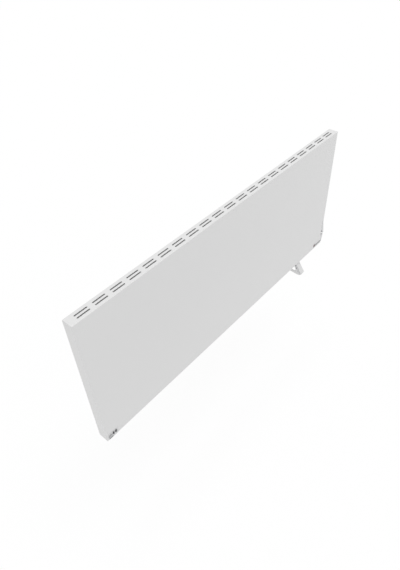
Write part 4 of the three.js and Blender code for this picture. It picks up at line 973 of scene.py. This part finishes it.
@dataclass(frozen=True)
class ControlDial(Assembly):
    """The fluted dial with its sunk face and its dark pointer."""

    sides: int = 56
    shaft_radius: float = 2.4 * MM
    flange_reach: float = 1.0 * MM
    flange_back: float = -6.2 * MM
    flange_front: float = -5.2 * MM
    crown: Levels = mm((0.0, -0.5), (-0.16, -0.16), (-0.5, 0.0), (-0.95, -0.06),
                       (-1.3, -0.385), (-1.9, -0.55), (-4.2, -0.451))
    face_inset: float = 1.9 * MM
    face_drop: float = 0.55 * MM
    rib_count: int = 28
    rib_depth: float = 0.35 * MM
    rib_width: float = 0.62 * MM
    rib_end_sides: int = 4
    rib: Levels = mm((-0.1, -2.6), (0.0, -2.5), (0.0, -0.6), (-0.2, -0.35))
    pointer_width: float = 0.9 * MM
    pointer_shift: float = 1.1 * MM
    pointer_margin: float = 0.6 * MM
    pointer_end_sides: int = 6
    pointer: Levels = mm((0.0, -0.05), (0.0, 0.2), (-0.15, 0.3))

    def build(self) -> None:
        """Makes the knob, its ribs and its pointer."""
        size, seat = extent("control_dial"), Seat.before("control_dial")
        body = size.x / 2 - self.flange_reach - self.rib_depth
        shaft, flange = self.shaft_radius - body, size.x / 2 - body
        knob = Solid("dial_knob", seat).stack(circle(body, self.sides), [
            (shaft, -size.y), (shaft, self.flange_back), (flange, self.flange_back),
            (flange, self.flange_front), (0.0, self.flange_front), *self.crown])
        self.fit(knob, Body.DIAL, Slot.LIGHT_PLASTIC, DIAL_PLASTIC, ("control_dial",))
        rib = Solid("dial_ribs", Seat.on(Facing.FRONT, (body, 0, 0))).stack(
            stadium(2 * self.rib_depth, self.rib_width, self.rib_end_sides), self.rib)
        rows = [ring(self.rib_count, seat.origin)]
        self.fit(rib, Body.DIAL, Slot.LIGHT_PLASTIC, DIAL_PLASTIC, rows=rows)
        length = body - self.face_inset
        place = seat.at(0, length / 2 + self.pointer_shift, -self.face_drop)
        mark = Solid("dial_pointer", Seat.on(Facing.FRONT, place)).stack(
            stadium(self.pointer_width, length - self.pointer_margin, self.pointer_end_sides), self.pointer)
        self.fit(mark, Body.DIAL, Slot.DARK_PLASTIC)


@dataclass(frozen=True)
class DialSurround(Assembly):
    """What is set into the bezel round the dial: a gasket, whose grey also paints the shade in the gap round
    the dial, tick marks, and a smoked window below, which also paints the dial's shadow.
    """

    sides: int = 56
    hole_inset: float = 0.55 * MM
    gasket_width: float = 0.75 * MM
    gasket: Levels = inset_ring(gasket_width, 1.2 * MM, (0.16 * MM, 0.22 * MM, 0.1 * MM))
    tick_count: int = 11
    tick_sweep: float = math.radians(270)
    tick_length: float = 0.8 * MM
    tick_width: float = 0.22 * MM
    tick_gap: float = 0.25 * MM
    tick_end_sides: int = 3
    tick: Levels = mm((0.0, -0.05), (0.0, 0.03), (-0.03, 0.05))
    window_width: float = 15.6 * MM
    window_height: float = 4.0 * MM
    window_shift: float = 1.2 * MM
    window_drop: float = 9.5 * MM
    window: Levels = mm((0.0, -0.4), (0.0, 0.06), (-0.1, 0.16), (-0.5, 0.2))

    def build(self) -> None:
        """Makes the gasket, the ticks and the window."""
        seat = Seat.before("control_dial", "control_bezel")
        hole = extent("control_dial").x / 2 - self.hole_inset
        # The gasket's grey also paints the shade in the gap round the dial.
        gasket = Solid("dial_gasket", seat).sleeve(circle(hole, self.sides), self.gasket)
        self.fit(gasket, Body.HEATER, Slot.DARK_PLASTIC, GASKET_AND_SHADE_GREY)
        start = math.pi / 2 + self.tick_sweep / 2
        radius = hole + self.gasket_width + self.tick_gap + self.tick_length / 2
        mark = stadium(self.tick_length, self.tick_width, self.tick_end_sides)
        tick = Solid("dial_ticks", Seat.on(Facing.FRONT)).stack(
            lambda grow: turned(moved(mark(grow), radius, 0), start), self.tick)
        rows = [ring(self.tick_count, seat.origin, self.tick_sweep / (self.tick_count - 1))]
        self.fit(tick, Body.HEATER, Slot.DARK_PLASTIC, rows=rows)
        # The dark window also paints the shadow that the dial casts downward.
        place = seat.at(self.window_shift, -self.window_drop, 0)
        window = Solid("display_window", Seat.on(Facing.FRONT, place)).stack(
            stadium(self.window_width, self.window_height), self.window)
        self.fit(window, Body.HEATER, Slot.DARK_PLASTIC, SMOKED_SHADOW_PLASTIC)


@dataclass(frozen=True)
class PushButton(Assembly):
    """One oval push button with a rounded crown and a shallow thumb dish, and a rim on the bezel round it.

    The dish lists how far it draws in, as a share of the width, and its level. The rim's dark grey is painted
    shade round the button; the rim may be wider below than above, by its drop, as a painted shadow under the
    button.
    """

    node: str
    body: Body
    finish: Finish
    flange_reach: float = 1.0 * MM
    flange_front: float = -4.4 * MM
    flange_back: float = -5.3 * MM
    crown: Levels = mm((0.0, -0.55), (-0.165, -0.165), (-0.55, 0.0), (-0.88, -0.02))
    dish: Levels = ((0.36, -0.224 * MM), (0.46, -0.28 * MM))
    end_sides: int = 12
    stem_radius: float = 1.5 * MM
    stem_front: float = -5.2 * MM
    stem_sides: int = 16
    rim_width: float = 0.45 * MM
    rim_shadow_drop: float = 0.0
    rim_gap: float = 0.15 * MM
    rim_depth: float = 1.1 * MM
    rim_proud: Point = (0.15 * MM, 0.2 * MM, 0.05 * MM)
    rim_shoulder: float = 0.9

    def build(self) -> None:
        """Makes the button over its CAD node, and its rim."""
        size, seat = extent(self.node), Seat.before(self.node)
        width, height = size.x - 2 * self.flange_reach, size.z - 2 * self.flange_reach
        cap = Solid(f"{self.node}_cap", seat).stack(stadium(width, height, self.end_sides), [
            (self.flange_reach, self.flange_back), (self.flange_reach, self.flange_front),
            (0.0, self.flange_front), *self.crown, *((-share * width, out) for share, out in self.dish)])
        cap.stack(circle(self.stem_radius, self.stem_sides), [(0.0, -size.y), (0.0, self.stem_front)])
        self.fit(cap, self.body, Slot.DARK_PLASTIC, self.finish, (self.node,))
        # The rim's dark grey paints the shade round the button, and its drop a shadow below it.
        hole = stadium(width + 2 * self.rim_gap, height + 2 * self.rim_gap, self.end_sides)
        section = inset_ring(self.rim_width, self.rim_depth, self.rim_proud, self.rim_shoulder)
        rim = Solid(f"{self.node}_rim", Seat.before(self.node, "control_bezel")).sleeve(
            lambda grow: moved(hole(grow), 0, -self.rim_shadow_drop * grow / self.rim_width), section)
        self.fit(rim, Body.HEATER, Slot.DARK_PLASTIC, STRIP_AND_RIM_SHADE_PLASTIC)


# ---- right corner


@dataclass(frozen=True)
class StatusLamp(Assembly):
    """The round lamp at the left end of the status strip: a stepped lens in a thin bright ring."""

    sides: int = 40
    foot_inset: float = 0.6 * MM
    flange_reach: float = 1.2 * MM
    foot: Levels = mm((-0.6, -5.6), (1.2, -5.6), (1.2, -4.7), (0.0, -4.7), (0.0, -0.95), (-0.2, -0.7))
    steps: int = 4
    first_step: float = 0.6
    step_height: float = 0.12 * MM
    step_slope: float = 0.05 * MM
    dome_height: float = 0.6 * MM
    dome_power: float = 1.5
    smooth_below: float = 25.0
    ring_gap: float = 0.32 * MM
    band: Levels = inset_ring(0.5 * MM, 0.5 * MM, (0.22 * MM, 0.28 * MM, 0.18 * MM))

    def build(self) -> None:
        """Makes the lens over its CAD node, and its ring."""
        size, seat = extent("status_lamp"), Seat.before("status_lamp")
        radius = size.x / 2 - self.flange_reach
        levels = [(-self.foot_inset, -size.y), *self.foot]
        for i in range(self.steps):
            inward = (i + self.first_step) / (self.steps + 1) * radius
            level = -self.dome_height * (1 - i / self.steps) ** self.dome_power
            levels += [(-inward, level), (-inward - self.step_slope, level - self.step_height)]
        lens = Solid("lamp_lens", seat).stack(circle(radius, self.sides), levels)
        self.fit(lens, Body.HEATER, Slot.RED_LENS, replaces=("status_lamp",), smooth_below=self.smooth_below)
        band = Solid("lamp_ring", Seat.before("status_lamp", "status_strip")).sleeve(
            circle(radius + self.ring_gap, self.sides), self.band)
        self.fit(band, Body.HEATER, Slot.ZINC_STEEL, SCREW_ZINC)


@dataclass(frozen=True)
class RockerPaddle(Assembly):
    """The wedge-shaped rocker on the right edge, with grip ribs at both ends."""

    pivot: Vector
    tilt: float = math.radians(13.5)
    half: float = 30.0 * MM
    face: float = 11.9 * MM
    edge: float = 5.2 * MM
    knee: Pair = (-1.0 * MM, 9.0 * MM)
    hub: Pair = (-4.0 * MM, 5.0 * MM)
    corner_reach: float = 1.2 * MM
    paddle_back: Levels = mm((-0.9, 0.0), (0.0, 0.9))
    paddle_front: Levels = mm((0.0, -0.9), (-0.27, -0.27), (-0.9, 0.0))
    bore_radius: float = 2.9 * MM
    bore_depth: float = 11.4 * MM
    bore_margin: float = 1.0 * MM
    bore_sides: int = 32
    smooth_below: float = 24.0
    ribs_per_end: int = 4
    rib_pitch: float = 3.2 * MM
    first_rib: float = 13.0 * MM
    rib_radius: float = 0.45 * MM
    rib_sides: int = 12
    rib_back: Levels = mm((-0.45, 2.2), (0.0, 2.65))
    rib_front: Levels = mm((0.0, -2.65), (-0.135, -2.335), (-0.405, -2.2))

    def build(self) -> None:
        """Makes the paddle over its CAD node, and its ribs."""
        seat = Seat.on(Facing.FRONT, (self.pivot.x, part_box("power_rocker")[0].y, self.pivot.z))
        depth = extent("power_rocker").y
        upper = [(self.face, self.half), (self.edge, self.half), self.knee, self.hub]
        lower = [(x, -z) for x, z in reversed(upper)]
        outline = turned(softened(upper + lower, self.corner_reach), self.tilt)
        bore = Solid("bore", seat).stack(
            circle(self.bore_radius, self.bore_sides),
            [(0.0, -depth - self.bore_margin), (0.0, self.bore_depth - depth)])
        paddle = Solid("rocker_paddle", seat).without(bore).stack(
            lambda grow: grown(outline, grow), [*raised(self.paddle_back, -depth), *self.paddle_front])
        self.fit(paddle, Body.ROCKER, Slot.GREY_PLASTIC, EDGE_PLASTIC, ("power_rocker",),
                 smooth_below=self.smooth_below)
        rib = Solid("rocker_ribs", Seat.on(Facing.FRONT)).stack(
            circle(self.rib_radius, self.rib_sides), [*raised(self.rib_back, -depth), *self.rib_front])
        rows = []
        for end in (-1, 1):
            first, step = turned([(self.face, end * self.first_rib), (0.0, end * self.rib_pitch)], self.tilt)
            rows.append(Row(self.ribs_per_end, tuple(seat.at(*first, 0)), (step[0], 0.0, step[1])))
        self.fit(rib, Body.ROCKER, Slot.GREY_PLASTIC, EDGE_PLASTIC, rows=rows)


# ---- cable gland and locking arm


@dataclass(frozen=True)
class CableGlandGrip(Assembly):
    """Grip ribs round the cable gland and the rubber seal in its bore."""

    rib_count: int = 24
    rib_proud: float = 0.4 * MM
    rib_width: float = 0.9 * MM
    rib_radius: float = 0.3 * MM
    rib: Levels = mm((-0.25, 0.05), (0.0, 0.3), (0.0, 2.1), (-0.25, 2.35))
    flange_inset: float = 1.6 * MM
    seal_radius: float = 2.9 * MM
    seal_sides: int = 36
    seal: Levels = mm((0.0, -1.6), (0.68, -1.6), (0.68, -0.2), (0.476, 0.0), (0.136, -0.1), (0.0, -0.4))

    def build(self) -> None:
        """Makes the ribs and the seal on the gland's outer end."""
        centre, back = middle("cable_gland"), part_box("cable_gland")[1].y
        rib = Solid("gland_ribs", Seat.on(Facing.FRONT, (extent("cable_gland").x / 2, 0, 0))).stack(
            box(2 * self.rib_proud, self.rib_width, self.rib_radius), self.rib)
        rows = [ring(self.rib_count, (centre.x, back - self.flange_inset, centre.z))]
        self.fit(rib, Body.HEATER, Slot.DARK_PLASTIC, rows=rows)
        seal = Solid("gland_seal", Seat.on(Facing.BACK, (centre.x, back, centre.z))).sleeve(
            circle(self.seal_radius, self.seal_sides), self.seal)
        self.fit(seal, Body.HEATER, Slot.PAD_RUBBER)


@dataclass(frozen=True)
class LockingArm(Assembly):
    """What is fixed to the locking arm: a zinc side plate with two rivets, an edge bead and a ribbed pad. The
    plate's grey also paints the shade on the left flange.

    The bead's margins are in radii, as is what its ends list: how far they draw in and stand out.
    """

    tip: Pair = (-75.0 * MM, -300.0 * MM)
    top: Pair = (-45.0 * MM, -254.6 * MM)
    plate_length: float = 46.0 * MM
    plate_width: float = 9.2 * MM
    plate_inset: float = 6.3 * MM
    plate_corner: float = 2.2 * MM
    plate: Levels = mm((0.0, 0.03), (0.0, 0.7), (-0.2, 0.9))
    rivet_nodes: tuple[str, ...] = ("arm_rivet_1", "arm_rivet_2")
    rivet_sides: int = 28
    rivet_tail: Levels = mm((-0.2, 0.0), (0.0, 0.2), (0.0, 0.8), (-0.9, 0.8))
    rivet_head: Levels = mm((-0.9, -0.45), (0.0, -0.45), (0.05, 0.0), (-0.25, 0.4), (-0.8, 0.66),
                            (-1.3, 0.74), (-1.45, 0.6))
    bead_radius: float = 1.15 * MM
    bead_inset: float = 0.9 * MM
    bead_sides: int = 20
    bead_margin: float = 2.0
    bead_end: Levels = ((0.9, 0.7), (0.4, 0.5), (0.0, -0.3))
    pad_corner: float = 2.0 * MM
    pad: Levels = mm((-0.2, 0.0), (0.0, 0.2), (0.0, 1.2), (-0.3, 1.5))
    pad_ribs: int = 5
    pad_rib_margin: float = 1.5 * MM
    pad_rib_inset: float = 1.2 * MM
    pad_rib_width: float = 1.4 * MM
    pad_rib_corner: float = 0.6 * MM
    pad_rib_foot: float = 0.2 * MM
    pad_rib_crown: Levels = mm((0.0, -0.4), (-0.15, -0.12), (-0.4, 0.0))

    def build(self) -> None:
        """Makes the arm's fittings in order."""
        self._plate()
        self._rivets()
        self._bead()
        self._pad()

    def _plate(self) -> None:
        """Makes the plate on the left flange, in line with the slanted leg; its grey also paints the flange's
        shade.
        """
        tip, top = Vector(self.tip), Vector(self.top)
        ahead = (top - tip).normalized()
        centre = (tip + top) / 2 + Vector((ahead.y, -ahead.x)) * self.plate_inset
        outline = box(self.plate_length, self.plate_width, self.plate_corner, radius_growth=0.0)
        plate = Solid("arm_plate", Seat.on(Facing.LEFT, (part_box("lock_arm")[0].x, *centre))).stack(
            lambda grow: turned(outline(grow), math.atan2(ahead.y, -ahead.x)), self.plate)
        self.fit(plate, Body.ARM, Slot.ZINC_STEEL, ZINC_AND_SHADE_PLATE)

    def _rivets(self) -> None:
        """Makes two domed rivets through plate and flange."""
        size = extent(self.rivet_nodes[0])
        rivet = Solid("arm_rivets", Seat.on(Facing.LEFT)).stack(
            circle(size.z / 2, self.rivet_sides), [*raised(self.rivet_tail, -size.x), *self.rivet_head])
        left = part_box(self.rivet_nodes[0])[0].x
        rows = [Row(1, (left, middle(node).y, middle(node).z)) for node in self.rivet_nodes]
        self.fit(rivet, Body.ARM, Slot.DARK_STEEL, RIVET_STEEL, self.rivet_nodes, rows)

    def _bead(self) -> None:
        """Makes the rolled edge between the side flange and the sloping front."""
        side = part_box("lock_arm")[0].x
        tip, top = Vector((side, *self.tip)), Vector((side, *self.top))
        ahead = (top - tip).normalized()
        inward = Vector((1, ahead.z, -ahead.y)) * self.bead_inset
        r, margin = self.bead_radius, self.bead_margin * self.bead_radius
        length = (top - tip).length - 2 * margin
        levels = [(-inset * r, -out * r) for inset, out in self.bead_end]
        levels += [(-inset * r, length + out * r) for inset, out in reversed(self.bead_end)]
        seat = Seat.towards(tip + inward + ahead * margin, top + inward)
        bead = Solid("arm_edge_bead", seat).stack(circle(r, self.bead_sides), levels)
        self.fit(bead, Body.ARM, Slot.WHITE_ENAMEL)

    def _pad(self) -> None:
        """Makes the rubber pad under the panel's lower edge, with ribs across it."""
        size, centre, low = extent("arm_pad"), middle("arm_pad"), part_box("arm_pad")[0]
        base = Solid("arm_pad_base", Seat.on(Facing.TOP, (centre.x, centre.y, low.z))).stack(
            box(size.x, size.y, self.pad_corner), self.pad)
        self.fit(base, Body.ARM, Slot.PAD_RUBBER, replaces=("arm_pad",))
        thickness = self.pad[-1][1]
        rib = Solid("arm_pad_ribs", Seat.on(Facing.TOP)).stack(
            box(size.x - 2 * self.pad_rib_inset, self.pad_rib_width, self.pad_rib_corner),
            [(0.0, -self.pad_rib_foot), *raised(self.pad_rib_crown, size.z - thickness)])
        pitch = (size.y - 2 * self.pad_rib_margin) / (self.pad_ribs - 1)
        first = (centre.x, low.y + self.pad_rib_margin, low.z + thickness)
        self.fit(rib, Body.ARM, Slot.PAD_RUBBER, rows=[Row(self.pad_ribs, first, (0.0, pitch, 0.0))])


# ---- the room and the camera


@dataclass(frozen=True)
class Studio:
    """White floor, soft daylight and the camera of the photograph."""

    floor_level: float = -0.75
    floor_half: float = 30.0
    floor_colour: Opaque = (0.9, 0.9, 0.9, 1.0)
    floor_glow: float = 0.8
    world_light: float = 0.8
    key_strength: float = 1.0
    key_angle: float = 0.7
    key_from: Point = (0.12, -0.1, 0.99)
    camera_place: Point = (-0.96085, -0.78802, 1.06804)
    camera_azimuth: float = math.radians(-47.3293)
    camera_elevation: float = math.radians(42.919)
    camera_roll: float = math.radians(-2.9488)
    focal_pixels: float = 494.90
    long_side_pixels: float = 570.0
    sensor: float = 36.0
    nearest: float = 0.01
    farthest: float = 100.0

    def build(self) -> None:
        """Makes the world, the lamp, the floor and the camera."""
        self._world()
        self._lamp()
        self._floor()
        self._camera()

    def _seen_directly(self, graph: NodeGraph) -> Socket:
        """1 for camera, mirror and transmission rays, 0 for the light that falls on things.

        Args:
            graph: The tree that asks.

        Returns:
            The factor's socket.
        """
        path = graph.node("ShaderNodeLightPath", {}).outputs
        total = path["Is Camera Ray"]
        for name in ("Is Glossy Ray", "Is Transmission Ray"):
            total = graph.node("ShaderNodeMath", {0: total, 1: path[name]}, operation="MAXIMUM").outputs[0]
        return total

    def _world(self) -> None:
        """White world, seen as white and lighting at a plain level."""
        world = bpy.data.worlds.new("studio_world")
        bpy.context.scene.world = world
        graph = NodeGraph(world)
        lighting = graph.tree.nodes["Background"]
        graph.feed(lighting, {"Color": WHITE, "Strength": self.world_light})
        seen = graph.node("ShaderNodeBackground", {"Color": WHITE, "Strength": 1.0})
        graph.end(self._seen_directly(graph), lighting, seen, "World Output")

    def _lamp(self) -> None:
        """One broad soft light from nearly straight above."""
        data = bpy.data.lights.new("key_light", "SUN")
        data.energy = self.key_strength
        data.angle = self.key_angle
        lamp = placed("key_light", data)
        lamp.rotation_mode = "QUATERNION"
        lamp.rotation_quaternion = (-Vector(self.key_from)).to_track_quat("-Z", "Y")

    def _floor(self) -> None:
        """White floor that keeps a faint shadow."""
        mesh = bpy.data.meshes.new("studio_floor")
        h, z = self.floor_half, self.floor_level
        mesh.from_pydata([(-h, -h, z), (h, -h, z), (h, h, z), (-h, h, z)], [], [(0, 1, 2, 3)])
        floor = placed("studio_floor", mesh)
        material = bpy.data.materials.new("studio_floor_paint")
        graph = NodeGraph(material)
        paint = graph.tree.nodes["Principled BSDF"]
        graph.feed(paint, {"Base Color": self.floor_colour, "Roughness": 1.0, "Specular IOR Level": 0.0})
        shares = {0: self._seen_directly(graph), 1: self.floor_glow}
        share = graph.node("ShaderNodeMath", shares, operation="MULTIPLY").outputs[0]
        graph.end(share, paint, graph.node("ShaderNodeEmission", {}), "Material Output")
        mesh.materials.append(material)

    def _camera(self) -> None:
        """The camera that took the photograph."""
        data = bpy.data.cameras.new("photo_camera")
        data.sensor_width = self.sensor
        data.lens = self.focal_pixels / self.long_side_pixels * self.sensor
        data.clip_start, data.clip_end = self.nearest, self.farthest
        camera = placed("photo_camera", data)
        forward = math.cos(self.camera_elevation)
        ahead = Vector((-math.sin(self.camera_azimuth) * forward, math.cos(self.camera_azimuth) * forward,
                        -math.sin(self.camera_elevation)))
        level = ahead.cross(Vector((0, 0, 1))).normalized()
        upright = level.cross(ahead)
        c, s = math.cos(self.camera_roll), math.sin(self.camera_roll)
        turn = Matrix((c * level + s * upright, c * upright - s * level, -ahead)).transposed()
        camera.matrix_world = Matrix.Translation(self.camera_place) @ turn.to_4x4()
        bpy.context.scene.camera = camera


def joint_place(frame: dict, name: str) -> Vector:
    """Where the record puts a joint."""
    joints = frame["record"]["behaviour"]["joints"]
    return Vector(next(joint["pos_m"] for joint in joints if joint["name"] == name))


def main() -> None:
    """Dresses the frame and builds every piece in order."""
    logging.basicConfig(level=logging.INFO, format="%(message)s")
    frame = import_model()
    bpy.context.scene.view_settings.view_transform = "Standard"
    Studio().build()
    dress_nodes(frame)
    repeater = Repeater()
    for assembly in (
        SheetOpenings(repeater),
        CoverScrews(repeater),
        ControlDial(repeater),
        DialSurround(repeater),
        PushButton(repeater, "button_left", Body.LEFT_BUTTON, BUTTON_DARK),
        PushButton(repeater, "button_right", Body.RIGHT_BUTTON, BUTTON_GREY,
                   rim_width=1.2 * MM, rim_shadow_drop=0.9 * MM),
        StatusLamp(repeater),
        RockerPaddle(repeater, joint_place(frame, "rocker_tip")),
        CableGlandGrip(repeater),
        LockingArm(repeater),
    ):
        assembly.build()


if __name__ == "__main__":
    main()
